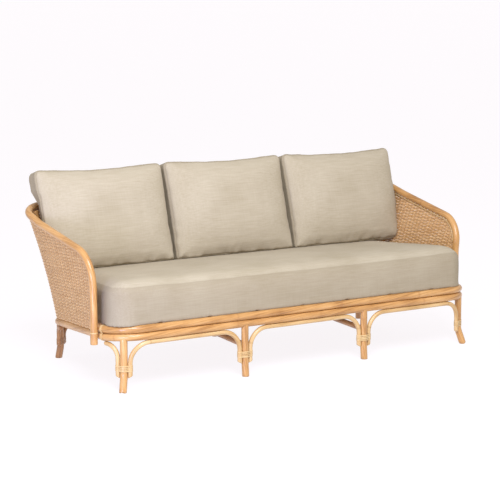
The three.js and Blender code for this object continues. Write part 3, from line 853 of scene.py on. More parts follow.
@dataclass(frozen=True)
class ClothFinish:
    """Linen-like outdoor cloth, plain woven from slubby yarn and left matt.

    Thicker yarns show as faint level and upright streaks, and fibre ends give the cloth a soft pale sheen.
    """

    name: str
    light: str
    middle: str
    dark: str
    seam: str
    yarn_mm: float = 2.2  # real yarn is about 0.7 mm; drawn coarser so that the weave still shows
    slub_mm: float = 4.0
    slub_length_mm: float = 90.0
    shade_mm: float = 190.0

    def material(self) -> bpy.types.Material:
        """Make the material.

        Returns:
            The new material.
        """
        made, tree = new_material(self.name)
        place_at = add_node(tree, "ShaderNodeTexCoord").outputs["Object"]
        links = {"Vector": add_node(tree, "ShaderNodeNewGeometry").outputs["Normal"]}
        spaces = {"vector_type": "NORMAL", "convert_from": "WORLD", "convert_to": "OBJECT"}
        turned = add_node(tree, "ShaderNodeVectorTransform", links, **spaces)
        facing = add_node(tree, "ShaderNodeSeparateXYZ", {"Vector": turned.outputs["Vector"]})

        def yarns(axis: int) -> bpy.types.NodeSocket:
            """Add the yarns that cross one axis, faded out where the cloth faces along that axis.

            Args:
                axis: The axis's number.

            Returns:
                The yarns' height.
            """
            turn = [(0.0, 0.0, 0.0), (0.0, 0.0, math.pi / 2.0), (0.0, math.pi / 2.0, 0.0)][axis]
            mapping = add_node(tree, "ShaderNodeMapping", {"Vector": place_at, "Rotation": turn})
            links = {
                "Vector": mapping.outputs["Vector"],
                "Scale": 1000.0 / self.yarn_mm / WAVE_BANDS,
                "Distortion": 1.6,
                "Detail": 2.0,
                "Detail Scale": 0.35,
            }
            wave = add_node(tree, "ShaderNodeTexWave", links, bands_direction="X")
            away = add_node(tree, "ShaderNodeMath", {0: facing.outputs[axis]}, operation="ABSOLUTE")
            away = away.outputs[0]
            links = {"Value": away, "From Min": 0.45, "From Max": 0.8, "To Min": 1.0, "To Max": 0.0}
            there = add_node(tree, "ShaderNodeMapRange", links)
            links = {0: wave.outputs["Fac"], 1: there.outputs[0]}
            return add_node(tree, "ShaderNodeMath", links, operation="MULTIPLY").outputs[0]

        def slubs(scale: tuple[float, float, float]) -> bpy.types.NodeSocket:
            """Add thick places in the yarn.

            Args:
                scale: How many lie in a metre along each axis.

            Returns:
                Their height.
            """
            mapping = add_node(tree, "ShaderNodeMapping", {"Vector": place_at, "Scale": scale})
            links = {"Vector": mapping.outputs["Vector"], "Scale": 1.0, "Detail": 2.0, "Roughness": 0.6}
            return add_node(tree, "ShaderNodeTexNoise", links).outputs["Fac"]

        thin, long = 1000.0 / self.slub_mm, 1000.0 / self.slub_length_mm
        level = slubs((long, thin, thin))
        upright = slubs((thin, thin, long))
        shade = slubs((1000.0 / self.shade_mm,) * 3)
        warp = add_node(tree, "ShaderNodeMath", {0: yarns(0), 1: yarns(1)}, operation="ADD")
        weave = add_node(tree, "ShaderNodeMath", {0: warp.outputs[0], 1: yarns(2)}, operation="ADD")
        cross = add_node(tree, "ShaderNodeMath", {0: upright, 1: 0.45, 2: level}, operation="MULTIPLY_ADD")
        tone = add_node(tree, "ShaderNodeMath", {0: cross.outputs[0], 1: shade}, operation="ADD")
        links = {"Value": tone.outputs[0], "From Min": 0.87, "From Max": 1.58, "To Min": 0.0, "To Max": 1.0}
        spread = add_node(tree, "ShaderNodeMapRange", links)
        stops = [(0.0, linear(self.dark)), (1.0, linear(self.light)), (0.5, linear(self.middle))]
        colour = add_node(tree, "ShaderNodeValToRGB", {"Fac": spread.outputs[0]}, stops=stops)
        seam = add_node(tree, "ShaderNodeAttribute", attribute_name="seam").outputs["Fac"]
        links = {"Value": seam, "From Min": 0.0008, "From Max": 0.005, "To Min": 0.35, "To Max": 0.0}
        stitched = add_node(tree, "ShaderNodeMapRange", links)
        links = {0: stitched.outputs[0], 6: colour.outputs["Color"], 7: linear(self.seam)}
        sewn = add_node(tree, "ShaderNodeMix", links, data_type="RGBA")
        links = {0: weave.outputs[0], 1: cross.outputs[0]}
        height = add_node(tree, "ShaderNodeMath", links, operation="ADD")
        links = {"Height": height.outputs[0], "Strength": 0.16, "Distance": 0.0006}
        bump = add_node(tree, "ShaderNodeBump", links)
        links = {
            "Base Color": sewn.outputs[2],
            "Roughness": 0.92,
            "Normal": bump.outputs["Normal"],
            "IOR": 1.45,
            "Specular IOR Level": 0.12,
            "Sheen Weight": 0.06,
            "Sheen Roughness": 0.5,
        }
        shader = add_node(tree, "ShaderNodeBsdfPrincipled", links)
        add_node(tree, "ShaderNodeOutputMaterial", {"Surface": shader.outputs["BSDF"]})
        return made


@dataclass(frozen=True)
class FloorFinish:
    """Opal acrylic shooting table, lit from below and faintly rippled, which keeps shadows pale."""

    name: str = "backlit_opal_acrylic"
    colour: str = "#6E6D6F"
    glow: str = "#FEFBFE"
    glow_strength: float = 0.885
    ripple_mm: float = 40.0

    def material(self) -> bpy.types.Material:
        """Make the material.

        Returns:
            The new material.
        """
        made, tree = new_material(self.name)
        place_at = add_node(tree, "ShaderNodeTexCoord")
        links = {"Vector": place_at.outputs["Object"], "Scale": 1000.0 / self.ripple_mm, "Detail": 1.0}
        ripple = add_node(tree, "ShaderNodeTexNoise", links)
        links = {"Height": ripple.outputs["Fac"], "Strength": 0.02, "Distance": 0.0005}
        bump = add_node(tree, "ShaderNodeBump", links)
        links = {
            "Base Color": linear(self.colour),
            "Roughness": 0.9,
            "Specular IOR Level": 0.1,
            "Normal": bump.outputs["Normal"],
            "Emission Color": linear(self.glow),
            "Emission Strength": self.glow_strength,
        }
        shader = add_node(tree, "ShaderNodeBsdfPrincipled", links)
        add_node(tree, "ShaderNodeOutputMaterial", {"Surface": shader.outputs["BSDF"]})
        return made


class Cane(Enum):
    """The kinds of cane in the sofa, each with its finish."""

    # Sanded pole under satin lacquer: honey tan with brown fibres, and a gloss along its length.
    LACQUERED = PoleFinish("lacquered_rattan_pole", "#D8A96F", "#C29055", "#9A6836", "#A87442", 0.31)
    # Copy of the pole for the rear and under the seat, browner and duller: its darker colour is painted shade
    # for poles that stand in shadow.
    PAINTED_SHADE = PoleFinish("rattan_pole_painted_shade", "#BE8C59", "#A47346", "#7E5331", "#8C6039", 0.40)
    # Thin bleached cane, steamed and bent into braces: pale straw with faint fibres.
    PALE = PoleFinish("lacquered_pale_rattan_brace", "#DCBD8C", "#CEA973", "#B58C56", "#A47C49", 0.40)
    # Skin of the cane, split into strips: pale, with finer fibres.
    PEEL = PoleFinish(
        "rattan_peel_strip", "#E0C492", "#D4B27C", "#BF965F", "#AA8252", 0.34, streak_mm=1.6, fibre_mm=0.6
    )
    # Inside of the cane, drawn to an oval strand: golden and porous, nearly matt; its darker colour where it
    # crosses is painted shade.
    CORE = PoleFinish(
        "woven_rattan_core", "#EBC794", "#DCB17B", "#C69963", "#9B6E42", 0.50, streak_mm=2.5, mottle_mm=30.0
    )


class Finishes:
    """The materials of the sofa, made once and shared by its pieces."""

    def __init__(self) -> None:
        """Make the materials."""
        self.canes = {cane: cane.value.material() for cane in Cane}
        cloth = ClothFinish("plain_woven_linen_cloth", "#BAAF9A", "#B2A691", "#A99D86", "#786950")
        self.linen = cloth.material()
        self.floor = FloorFinish().material()


def dress(
    piece: bpy.types.Object,
    material: bpy.types.Material,
    body: str,
    nodes: Sequence[str] = (),
) -> bpy.types.Object:
    """Give a piece its material and its body, and hide the CAD nodes that it stands for.

    Args:
        piece: The finished object.
        material: Its material.
        body: The CAD body that carries it.
        nodes: The CAD nodes that it replaces.

    Returns:
        The same object.
    """
    piece.data.materials.clear()
    piece.data.materials.append(material)
    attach(piece, body)
    if nodes:
        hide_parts(*nodes)
    log.info("%s rides on %s", piece.name, body)
    return piece


# Poles


@dataclass
class SeatRing:
    """The lower rail in two lengths, and the upper front rail stacked on it."""

    bones: Skeleton
    looks: Finishes

    def build(self) -> None:
        """Make and dress the rails."""
        bones, sizes = self.bones, self.bones.sizes
        joint = bones.rear_bend_start - sizes.rail_joint_setback
        rear_length = bones.ring.length - 2.0 * joint - 2.0 * sizes.fit_gap
        end = bones.front_bend_end + sizes.upper_rail_overlap
        self._rail("lower_rail_front", "seat_rail_front", -joint, 2.0 * joint, 0.0, 11)
        self._rail("lower_rail_rear", "seat_rail_rear", joint + sizes.fit_gap, rear_length, 0.0, 12)
        self._rail("upper_front_rail", "front_rail_upper", -end, 2.0 * end, bones.stack, 13)

    def _rail(self, name: str, node: str, start: float, length: float, rise: float, seed: int) -> None:
        """Make and dress one rail.

        Args:
            name: The piece's name.
            node: The CAD node that it stands for.
            start: Its start, as a place on the ring.
            length: Its length.
            rise: Its height over the ring.
            seed: Number that sets its knots and grain.
        """

        def line(way: float) -> Array:
            """Return the rail's middle line."""
            return self.bones.ring_point(start + way, rise)

        made = pole(name, line, length, self.bones.sizes.pole, seed, sides=24)
        dress(made, self.looks.canes[Cane.LACQUERED], FRAME_BODY, [node])


@dataclass
class TopRail:
    """Both arm posts, both arms and the back in one bent pole, and the reed trim close under it."""

    bones: Skeleton
    looks: Finishes
    trim_clearance: float = 0.0026

    def build(self) -> None:
        """Make and dress the rail and the trim."""
        bones, sizes, canes = self.bones, self.bones.sizes, self.looks.canes
        made = pole("top_rail_pole", bones.top.point, bones.top.length, sizes.pole, 21, sides=28)
        dress(made, canes[Cane.LACQUERED], FRAME_BODY, ["top_rail"])
        length = bones.top.length - 2.0 * bones.arm_bend_start
        trim = pole("reed_trim_strip", self._trim_line, length, sizes.trim, 22, sides=8)
        dress(trim, canes[Cane.PEEL], FRAME_BODY, ["reed_trim"])

    def _trim_line(self, way: float) -> Array:
        """Find the trim's middle line, under the inner side of the rail and clear of the wall.

        Args:
            way: Distance from the trim's start.

        Returns:
            The point there.
        """
        bones, sizes = self.bones, self.bones.sizes
        at_rail = bones.arm_bend_start + way
        inset = sizes.wall_thickness / 2.0 + self.trim_clearance + sizes.trim / 2.0
        drop = (sizes.pole + sizes.trim) / 2.0
        point = bones.top.point(at_rail) + bones.top_inward(at_rail) * drop
        return point - bones.top_outward(at_rail) * inset


@dataclass(frozen=True)
class LegPlan:
    """One leg: its name, its place on the ring, its kick, its knee, its binding's bottom and its canes."""

    name: str
    way: float
    kick: float
    knee: float
    band: float
    cane: Cane
    binding: Cane


@dataclass
class Legs:
    """Seven legs, each coped to the ring and kicked out at the foot, with its binding."""

    bones: Skeleton
    looks: Finishes
    middle_spacing: float = 0.298
    front_corner_turn: float = math.radians(41.0)
    rear_corner_turn: float = math.radians(42.0)
    front_knee: float = 0.066
    rear_knee: float = 0.050
    knee_radius: float = 0.070
    corner_kick: float = 0.024
    middle_kick: float = 0.006
    rear_kick: float = 0.010
    overrun: float = 0.020
    head_drop: float = 0.004
    foot_flat: float = 0.004
    binding_height: float = 0.026
    front_band: float = 0.080
    rear_band: float = 0.062
    strip_width: float = 0.0052
    strip_thickness: float = 0.0012
    turn_play: float = 0.0001
    turn_tilt: float = 0.0006
    tilt_step: float = 0.7
    grain_step: float = 0.37
    hollow_share: float = 0.42

    def __post_init__(self) -> None:
        """Work out where the legs stand."""
        bones, sizes = self.bones, self.bones.sizes
        corner = bones.front_bend_start + sizes.front_corner * self.front_corner_turn
        rear = bones.rear_bend_start + sizes.rear_corner * self.rear_corner_turn
        front = (self.front_knee, self.front_band, Cane.LACQUERED, Cane.PEEL)
        # the rear legs and their bindings take the darker copy of the cane: painted shade
        back = (self.rear_kick, self.rear_knee, self.rear_band, Cane.PAINTED_SHADE, Cane.PAINTED_SHADE)
        self.beside_leg = (sizes.pole + sizes.brace) / 2.0 + sizes.fit_gap
        self.corner_way = corner
        self.rear_way = rear
        self.plans = [
            LegPlan("front_corner_left", bones.mirrored(corner), self.corner_kick, *front),
            LegPlan("front_middle_left", bones.mirrored(self.middle_spacing), self.middle_kick, *front),
            LegPlan("front_middle_right", self.middle_spacing, self.middle_kick, *front),
            LegPlan("front_corner_right", corner, self.corner_kick, *front),
            LegPlan("rear_left", bones.mirrored(rear), *back),
            LegPlan("rear_middle", bones.back_middle, *back),
            LegPlan("rear_right", rear, *back),
        ]

    def build(self) -> None:
        """Make and dress the legs and their bindings."""
        for number, plan in enumerate(self.plans):
            self._leg(plan, 31 + number)
            self._binding(plan, 51 + number)

    def _leg(self, plan: LegPlan, seed: int) -> None:
        """Make and dress one leg, sawn level on the floor.

        Args:
            plan: The leg's plan.
            seed: Number that sets its knots and grain.
        """
        head = self.bones.ring_point(plan.way)
        outward = self.bones.ring_outward(plan.way)
        drop = plan.knee + self.overrun
        toe = np.array([head[0], head[1], -self.overrun]) + outward * plan.kick * drop / plan.knee
        knee = np.array([head[0], head[1], plan.knee])
        route = Route([head - UP * self.head_drop, knee, toe], [self.knee_radius])
        ways = np.linspace(0.0, route.length, 400)
        length = float(ways[route.points(ways)[:, 2] > 0.0].max())
        made = pole(f"{plan.name}_leg", route.point, length, self.bones.sizes.pole, seed, sides=24)
        points = positions(made.data)
        points[points[:, 2] < self.foot_flat, 2] = 0.0
        place(made.data, points)
        dress(made, self.looks.canes[plan.cane], FRAME_BODY, [f"leg_{plan.name}"])

    def _binding(self, plan: LegPlan, seed: int) -> None:
        """Wind a strip round a leg and the two brace ends beside it, and dress it.

        Args:
            plan: The leg's plan.
            seed: Number that sets its grain.
        """
        sizes = self.bones.sizes
        head = self.bones.ring_point(plan.way)
        beside = [self.bones.ring_point(plan.way + step) for step in (self.beside_leg, -self.beside_leg)]
        centres = [np.zeros(2), *((brace - head)[:2] for brace in beside)]
        radii = [sizes.pole / 2.0, sizes.brace / 2.0, sizes.brace / 2.0]
        outline = closed(wound_outline(centres, radii, self.hollow_share))
        tangent = unit(np.gradient(outline, axis=0))
        outward = np.column_stack([tangent[:, 1], -tangent[:, 0], np.zeros(len(outline))])
        angles = closed(TURN_ANGLES)
        turns = int(self.binding_height / (self.strip_width + self.turn_play))
        skins = Skins()
        for turn in range(turns):
            level = plan.band + (turn + 0.5) * self.binding_height / turns
            tilt = self.turn_tilt * np.sin(angles + self.tilt_step * turn)
            loop = np.column_stack([outline + head[:2], level + tilt])
            grain_start = seed + self.grain_step * turn
            strip_skin(skins, loop, outward, self.strip_width, self.strip_thickness, grain_start)
        made = skins.build(f"{plan.name}_binding")
        dress(made, self.looks.canes[plan.binding], FRAME_BODY, [f"binding_{plan.name}"])


@dataclass
class RailLashings:
    """Peel wound round the two front rails beside each arm post, and once round the post itself."""

    bones: Skeleton
    looks: Finishes
    tie_width: float = 0.014
    room: float = 0.0032
    strip_width: float = 0.0046
    strip_thickness: float = 0.0012
    collar_width: float = 0.00598
    hollow_share: float = 0.5

    def __post_init__(self) -> None:
        """Work out where the right lashing and its inner edge lie on the ring."""
        beside_post = self.bones.post_way - self.bones.sizes.pole / 2.0
        self.way = beside_post - self.tie_width / 2.0 - self.room
        self.inner_way = self.way - self.tie_width / 2.0 - self.room

    def build(self) -> None:
        """Make and dress the two lashings."""
        for name, way, seed in (("right", self.way, 131), ("left", self.bones.mirrored(self.way), 132)):
            self._lashing(name, way, seed)

    def _lashing(self, name: str, way: float, seed: int) -> None:
        """Wind one lashing round both rails, and a collar round the post beside it.

        Args:
            name: Its side's name.
            way: Its place on the ring.
            seed: Number that sets its grain.
        """
        bones, sizes = self.bones, self.bones.sizes
        point, along = bones.ring.at(way)
        outward = bones.ring_outward(way)
        rise = unit(UP - along * float(UP @ along))
        centres = [np.zeros(2), np.array([0.0, bones.stack])]
        outline = closed(wound_outline(centres, [sizes.pole / 2.0] * 2, self.hollow_share))
        tangent = unit(np.gradient(outline, axis=0))
        facing = tangent[:, 1:] * outward - tangent[:, :1] * rise
        skins = Skins()
        for turn in (-1.0, 0.0, 1.0):
            middle = point + along * turn * self.tie_width / 3.0
            loop = middle + outline[:, :1] * outward + outline[:, 1:] * rise
            strip_skin(skins, loop, facing, self.strip_width, self.strip_thickness, seed + turn)
        post = bones.top.point(0.0) * np.array([math.copysign(1.0, point[0]), 1.0, 0.0])
        level = float(bones.ring.point(bones.post_way)[2]) + bones.stack / 2.0
        angles = closed(TURN_ANGLES)
        spokes = np.column_stack([np.cos(angles), np.sin(angles), np.zeros(len(angles))])
        collar = post + spokes * (sizes.pole / 2.0 + STRIP_PLAY) + UP * level
        strip_skin(skins, collar, spokes, self.collar_width, self.strip_thickness, seed + 3.0)
        made = skins.build(f"rail_lashing_{name}")
        dress(made, self.looks.canes[Cane.PEEL], FRAME_BODY, [f"rail_tie_{name}"])


@dataclass
class Braces:
    """The arched braces under the ring, each sawn at a slant at its foot."""

    bones: Skeleton
    legs: Legs
    lashings: RailLashings
    looks: Finishes
    arch_radius: float = 0.080
    corner_radius: float = 0.058
    rear_radius: float = 0.045
    foot_height: float = 0.058
    bracket_reach: float = 0.012
    slant: float = 0.55
    point_spacing: float = 0.02

    def build(self) -> None:
        """Make and dress the braces."""
        bones, legs = self.bones, self.legs
        beside, corner, rear = legs.beside_leg, legs.corner_way, legs.rear_way
        middle, far = legs.middle_spacing, bones.ring.length
        wide, tight = self.arch_radius, self.rear_radius
        self._arch("arch_front_right", middle + beside, corner - beside, wide, True)
        self._arch("arch_front_middle", -middle + beside, middle - beside, wide, True)
        self._arch("arch_front_left", far - middle - beside, far - corner + beside, wide, True)
        end = self.lashings.inner_way
        self._arch("arch_corner_right", corner + beside, end, self.corner_radius, False)
        self._arch("arch_corner_left", far - corner - beside, far - end, self.corner_radius, False)
        start = rear - beside
        stop = start - tight - self.bracket_reach
        self._arch("bracket_rear_right", start, stop, tight, False)
        self._arch("bracket_rear_left", far - start, far - stop, tight, False)
        self._arch("arch_rear_right", rear + beside, bones.back_middle - beside, tight, True)
        self._arch("arch_rear_left", far - rear - beside, bones.back_middle + beside, tight, True)

    def _under(self, way: float, drop: float = 0.0) -> Array:
        """Return a point of a brace's middle line, or one lower by the drop."""
        return self.bones.ring_point(way, -self.legs.beside_leg - drop)

    def _foot(self, way: float) -> Array:
        """Return the end of a brace beside a leg."""
        return np.array([*self._under(way)[:2], self.foot_height])

    def _bend(self, way: float, side: float, radius: float) -> list[Array]:
        """Bend a brace from its foot to the rail.

        Args:
            way: The foot's place on the ring.
            side: 1 where the brace runs on round the ring, or -1 where it runs back.
            radius: The bend's radius.

        Returns:
            The bend's points, from below.
        """
        turns = np.linspace(0.0, math.pi / 2.0, 10)
        reaches = [radius * (1.0 - math.cos(turn)) for turn in turns]
        drops = [radius * (1.0 - math.sin(turn)) for turn in turns]
        return [self._under(way + side * reach, drop) for reach, drop in zip(reaches, drops)]

    def _cut(self, way: float, side: float) -> Array:
        """Return the direction and amount of the slanted cut at a foot."""
        return unit(self.bones.ring_along(way)) * side * self.slant

    def _arch(self, node: str, start: float, end: float, radius: float, both: bool) -> None:
        """Make and dress one brace.

        Args:
            node: The CAD node that it stands for.
            start: Its foot's place on the ring.
            end: The place on the ring where it ends.
            radius: Its bend's radius.
            both: Whether it ends at a second foot, or else under the ring.
        """
        side = math.copysign(1.0, end - start)
        first, last = start + side * radius, end - side * radius if both else end
        count = max(3, int(abs(last - first) / self.point_spacing))
        between = [self._under(way) for way in np.linspace(first, last, count)]
        line = [self._foot(start), *self._bend(start, side, radius), *between[1:-1]]
        line += [*reversed(self._bend(end, -side, radius)), self._foot(end)] if both else [self._under(end)]
        corners = np.array(line)
        ways = travelled(corners)

        def point(way: float) -> Array:
            """Return the brace's middle line."""
            return np.array([np.interp(way, ways, corners[:, axis]) for axis in range(3)])

        slants = (self._cut(start, side), self._cut(end, side) if both else None)
        seed = 71 + sum(map(ord, node)) % 97
        length, diameter = float(ways[-1]), self.bones.sizes.brace
        made = pole(f"{node}_brace", point, length, diameter, seed, sides=18, slants=slants)
        # the rear braces take the darker copy of the cane: painted shade
        cane = Cane.PALE if "front" in node or "corner" in node else Cane.PAINTED_SHADE
        dress(made, self.looks.canes[cane], FRAME_BODY, [node])


@dataclass
class Underframe:
    """Stretchers, bearers, deck poles and the uprights inside the back."""

    bones: Skeleton
    legs: Legs
    looks: Finishes
    stretcher_front_height: float = 0.129
    stretcher_tuck: float = 0.002
    upright_spacing: float = 0.337
    upright_inset: float = 0.017
    upright_setback_share: float = 0.3

    def build(self) -> None:
        """Make and dress the hidden poles."""
        bones, sizes = self.bones, self.bones.sizes
        inside = sizes.pole / 2.0 - self.stretcher_tuck
        level = bones.seat_level(sizes.seat_depth)
        for name, side, seed in (("stretcher_left", -1.0, 100), ("stretcher_right", 1.0, 102)):
            x = side * self.legs.middle_spacing
            start = np.array([x, bones.front_y + inside, self.stretcher_front_height])
            end = np.array([x, bones.front_y + sizes.seat_depth - inside, level])
            self._straight(name, start, end, sizes.stretcher, seed)
        rise = (sizes.pole - sizes.bearer) / 2.0
        bearer_depths = sizes.front_bearer_depth, sizes.rear_bearer_depth
        for name, depth, seed in zip(("bearer_front", "bearer_rear"), bearer_depths, (106, 109)):
            low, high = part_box(name)
            start, end = bones.on_seat_plane(low.x, depth, rise), bones.on_seat_plane(high.x, depth, rise)
            self._straight(name, start, end, sizes.bearer, seed)
        for i in range(sizes.deck_count):
            x = (i - (sizes.deck_count - 1) / 2.0) * sizes.deck_spacing
            start = bones.on_seat_plane(x, sizes.pole / 2.0, bones.stack)
            end = bones.on_seat_plane(x, sizes.seat_depth, bones.stack)
            self._straight(f"deck_pole_{i + 1}", start, end, sizes.pole, 111 + i)
        middle = bones.top.length / 2.0
        corner = (bones.back_corner_start + bones.back_corner_end) / 2.0
        far, rear, spread = bones.ring.length, self.legs.rear_way, self.upright_spacing
        self._upright("upright_back_right", bones.back_middle - spread, middle - spread, 121)
        self._upright("upright_back_left", bones.back_middle + spread, middle + spread, 122)
        self._upright("upright_corner_right", rear, corner, 123)
        self._upright("upright_corner_left", far - rear, bones.top.length - corner, 124)

    def _straight(self, node: str, start: Array, end: Array, diameter: float, seed: int) -> None:
        """Make and dress one straight pole.

        Args:
            node: The CAD node that it stands for.
            start: One end of its middle line.
            end: The other end.
            diameter: Its diameter.
            seed: Number that sets its knots and grain.
        """
        length = float(np.linalg.norm(end - start))

        def line(way: float) -> Array:
            """Return the pole's middle line."""
            return start + (end - start) * way / length

        made = pole(f"{node}_pole", line, length, diameter, seed)
        # the poles under the seat take the darker copy of the cane: painted shade
        dress(made, self.looks.canes[Cane.PAINTED_SHADE], FRAME_BODY, [node])

    def _upright(self, node: str, ring_way: float, top_way: float, seed: int) -> None:
        """Make and dress one upright, which follows the bow of the back wall.

        Args:
            node: The CAD node that it stands for.
            ring_way: Its foot's place on the ring.
            top_way: Its head's place on the top rail.
            seed: Number that sets its knots and grain.
        """
        sizes = self.bones.sizes
        setback = sizes.pole * self.upright_setback_share
        inward = -self.bones.ring_outward(ring_way) * self.upright_inset
        foot, head = self.bones.ring_point(ring_way), self.bones.top.point(top_way)
        height = float(head[2] - foot[2])

        def line(way: float) -> Array:
            """Return the upright's middle line.

            Args:
                way: Distance from its foot.

            Returns:
                The point there.
            """
            share = (way + setback) / height
            point = foot + (head - foot) * (share - sizes.wall_bow_share * share * (1.0 - share))
            return np.array([point[0], point[1], foot[2] + height * share]) + inward

        made = pole(f"{node}_pole", line, height - 2.0 * setback, sizes.upright, seed, sides=16)
        dress(made, self.looks.canes[Cane.LACQUERED], FRAME_BODY, [node])


@dataclass
class WovenWalls:
    """Side and back walls: oval rattan core woven over and under round stakes, from post to post."""

    bones: Skeleton
    looks: Finishes
    outset: float = 0.006
    gap: float = 0.0007
    stake_spacing: float = 0.022
    stake: float = 0.0022
    stake_sides: int = 6
    stake_rings: int = 9
    stake_grain_step: float = 0.61
    row_pitch: float = 0.0066
    first_row_share: float = 0.6
    core_height: float = 0.0067
    core_thickness: float = 0.0020
    core_sides: int = 8
    core_squeeze_share: float = 0.1
    swing_share: float = 0.82
    wave_power: float = 0.6
    sag: float = 0.00025
    # painted shade: how much darker the strands are where they cross between stakes
    crossing_shade: float = 0.28
    row_shade: float = 0.34
    strand_shade: float = 0.15
    grain_step: float = 3.7
    grain_shift: float = 0.02
    steps: int = 4

    def __post_init__(self) -> None:
        """Set out the columns, a few for each gap between stakes, from the right post to the left one."""
        bones, sizes = self.bones, self.bones.sizes
        front = bones.post_way + sizes.pole / 2.0 + 2.0 * sizes.fit_gap
        pairs = [
            (bones.arm_bend_start, front),
            (bones.back_corner_start, bones.rear_bend_start),
            (bones.back_corner_end, bones.rear_bend_end),
            (bones.top.length / 2.0, bones.back_middle),
        ]
        pairs += [(bones.top.length - top, bones.ring.length - ring) for top, ring in reversed(pairs[:-1])]
        knots = np.array(pairs)
        spans = np.abs(np.diff(knots, axis=0)).mean(axis=1)
        runs = np.concatenate([[0.0], np.cumsum(spans)])
        self.stakes = int(runs[-1] / self.stake_spacing)
        shares = np.linspace(0.0, runs[-1], self.stakes * self.steps + 1)
        tops = np.interp(shares, runs, knots[:, 0])
        rings = np.interp(shares, runs, knots[:, 1])
        columns = [self._column(top, ring) for top, ring in zip(tops, rings)]
        self.feet, self.heads, self.faces = (np.array(part) for part in zip(*columns))
        self.heights = self.heads[:, 2] - self.feet[:, 2]

    def _column(self, top_way: float, ring_way: float) -> tuple[Array, Array, Array]:
        """Set out one column.

        Args:
            top_way: Its place on the top rail.
            ring_way: Its place on the ring.

        Returns:
            Its foot, its head and the outward direction there.
        """
        bones, sizes = self.bones, self.bones.sizes
        outward = bones.ring_outward(ring_way)
        foot = bones.ring_point(ring_way, sizes.pole / 2.0 + sizes.fit_gap) + outward * self.outset
        head = bones.top.at(top_way)[0] + bones.top_inward(top_way) * (sizes.pole / 2.0 + self.gap)
        return foot, head, unit(bones.top_outward(top_way) + outward)

    def surface(self, column: Array, share: Array) -> Array:
        """Return points in the middle of the wall.

        Args:
            column: Column numbers.
            share: Heights as shares of each column.

        Returns:
            The points as rows.
        """
        foot, head = self.feet[column], self.heads[column]
        flare = share - self.bones.sizes.wall_bow_share * share * (1.0 - share)
        points = foot + (head - foot) * flare[:, None]
        points[:, 2] = foot[:, 2] + (head[:, 2] - foot[:, 2]) * share
        return points

    def build(self) -> None:
        """Make and dress the woven core and the stakes."""
        core = self.looks.canes[Cane.CORE]
        nodes = ["woven_side_right", "woven_back", "woven_side_left"]
        dress(self._weavers().build("woven_core"), core, FRAME_BODY, nodes)
        dress(self._stakes().build("wall_stakes"), core, FRAME_BODY)

    def _stakes(self) -> Skins:
        """Make the upright stakes.

        Returns:
            Their skins.
        """
        skins = Skins()
        shares = np.linspace(0.0, 1.0, self.stake_rings)
        radii = np.full(self.stake_rings, self.stake / 2.0)
        for number in range(self.stakes + 1):
            points = self.surface(np.full(self.stake_rings, number * self.steps), shares)
            round_skin(skins, points, radii, self.stake_sides, number * self.stake_grain_step)
        return skins

    def _weavers(self) -> Skins:
        """Make the rows of core that pass in front of one stake and behind the next.

        Returns:
            Their skins.
        """
        skins = Skins()
        rng = np.random.default_rng(5)
        everywhere = np.arange(len(self.heights))
        for row in range(int(self.heights.max() / self.row_pitch)):
            rise = (row + self.first_row_share) * self.row_pitch
            inside = everywhere[self.heights > rise - self.core_height * self.core_squeeze_share]
            if len(inside) >= 2 * self.steps:
                self._weaver(skins, row, rise, inside, rng)
        return skins

    def _weaver(self, skins: Skins, row: int, rise: float, inside: Array, rng: np.random.Generator) -> None:
        """Weave one row of core.

        Args:
            skins: The piece that gets the row's skin.
            row: The row's number.
            rise: Its height over the ring.
            inside: The columns that are high enough for it.
            rng: Random numbers for its shade and its sag.
        """
        angles = np.arange(self.core_sides) * 2.0 * math.pi / self.core_sides
        oval = np.array([self.core_thickness, self.core_height]) / 2.0
        section = np.column_stack([np.cos(angles), np.sin(angles)]) * oval
        swing = (self.stake + self.core_thickness) / 2.0 * self.swing_share
        points = self.surface(inside, rise / self.heights[inside])
        wave = np.cos(math.pi * inside / self.steps + math.pi * row)
        wave = np.sign(wave) * np.abs(wave) ** self.wave_power
        # painted shade at the crossings between stakes, with a darker tone on every second row and a random
        # tone for each row
        shade = self.crossing_shade * (1.0 - np.abs(wave)) + self.row_shade * (row % 2)
        shade = shade + rng.uniform(0.0, self.strand_shade)
        along = unit(np.gradient(points, axis=0))
        outward = square_to(along, self.faces[inside])
        up = np.cross(outward, along)
        sag = rng.normal(0.0, self.sag, len(inside))
        points = points + outward * (wave * swing)[:, None] + up * sag[:, None]
        shifted = section + np.array([row * self.grain_shift, 0.0])
        grain = section_grain(travelled(points) + row * self.grain_step, shifted)
        faces = tube_faces(len(points), self.core_sides, flipped=True)
        # the layer below carries this painted shade and tone into the core's colour
        knot = np.repeat(shade, self.core_sides)
        skins.add(swept(points, section, outward, up), *faces, grain=grain, knot=knot)


# Cushions


FACE_REACHES = np.linspace(0.04, 1.0, 14)[:-1]
ROLL_ANGLES = np.linspace(0.0, math.pi / 2.0, 5)
BOXING_RINGS = 6
FILL_FRAMES = 20


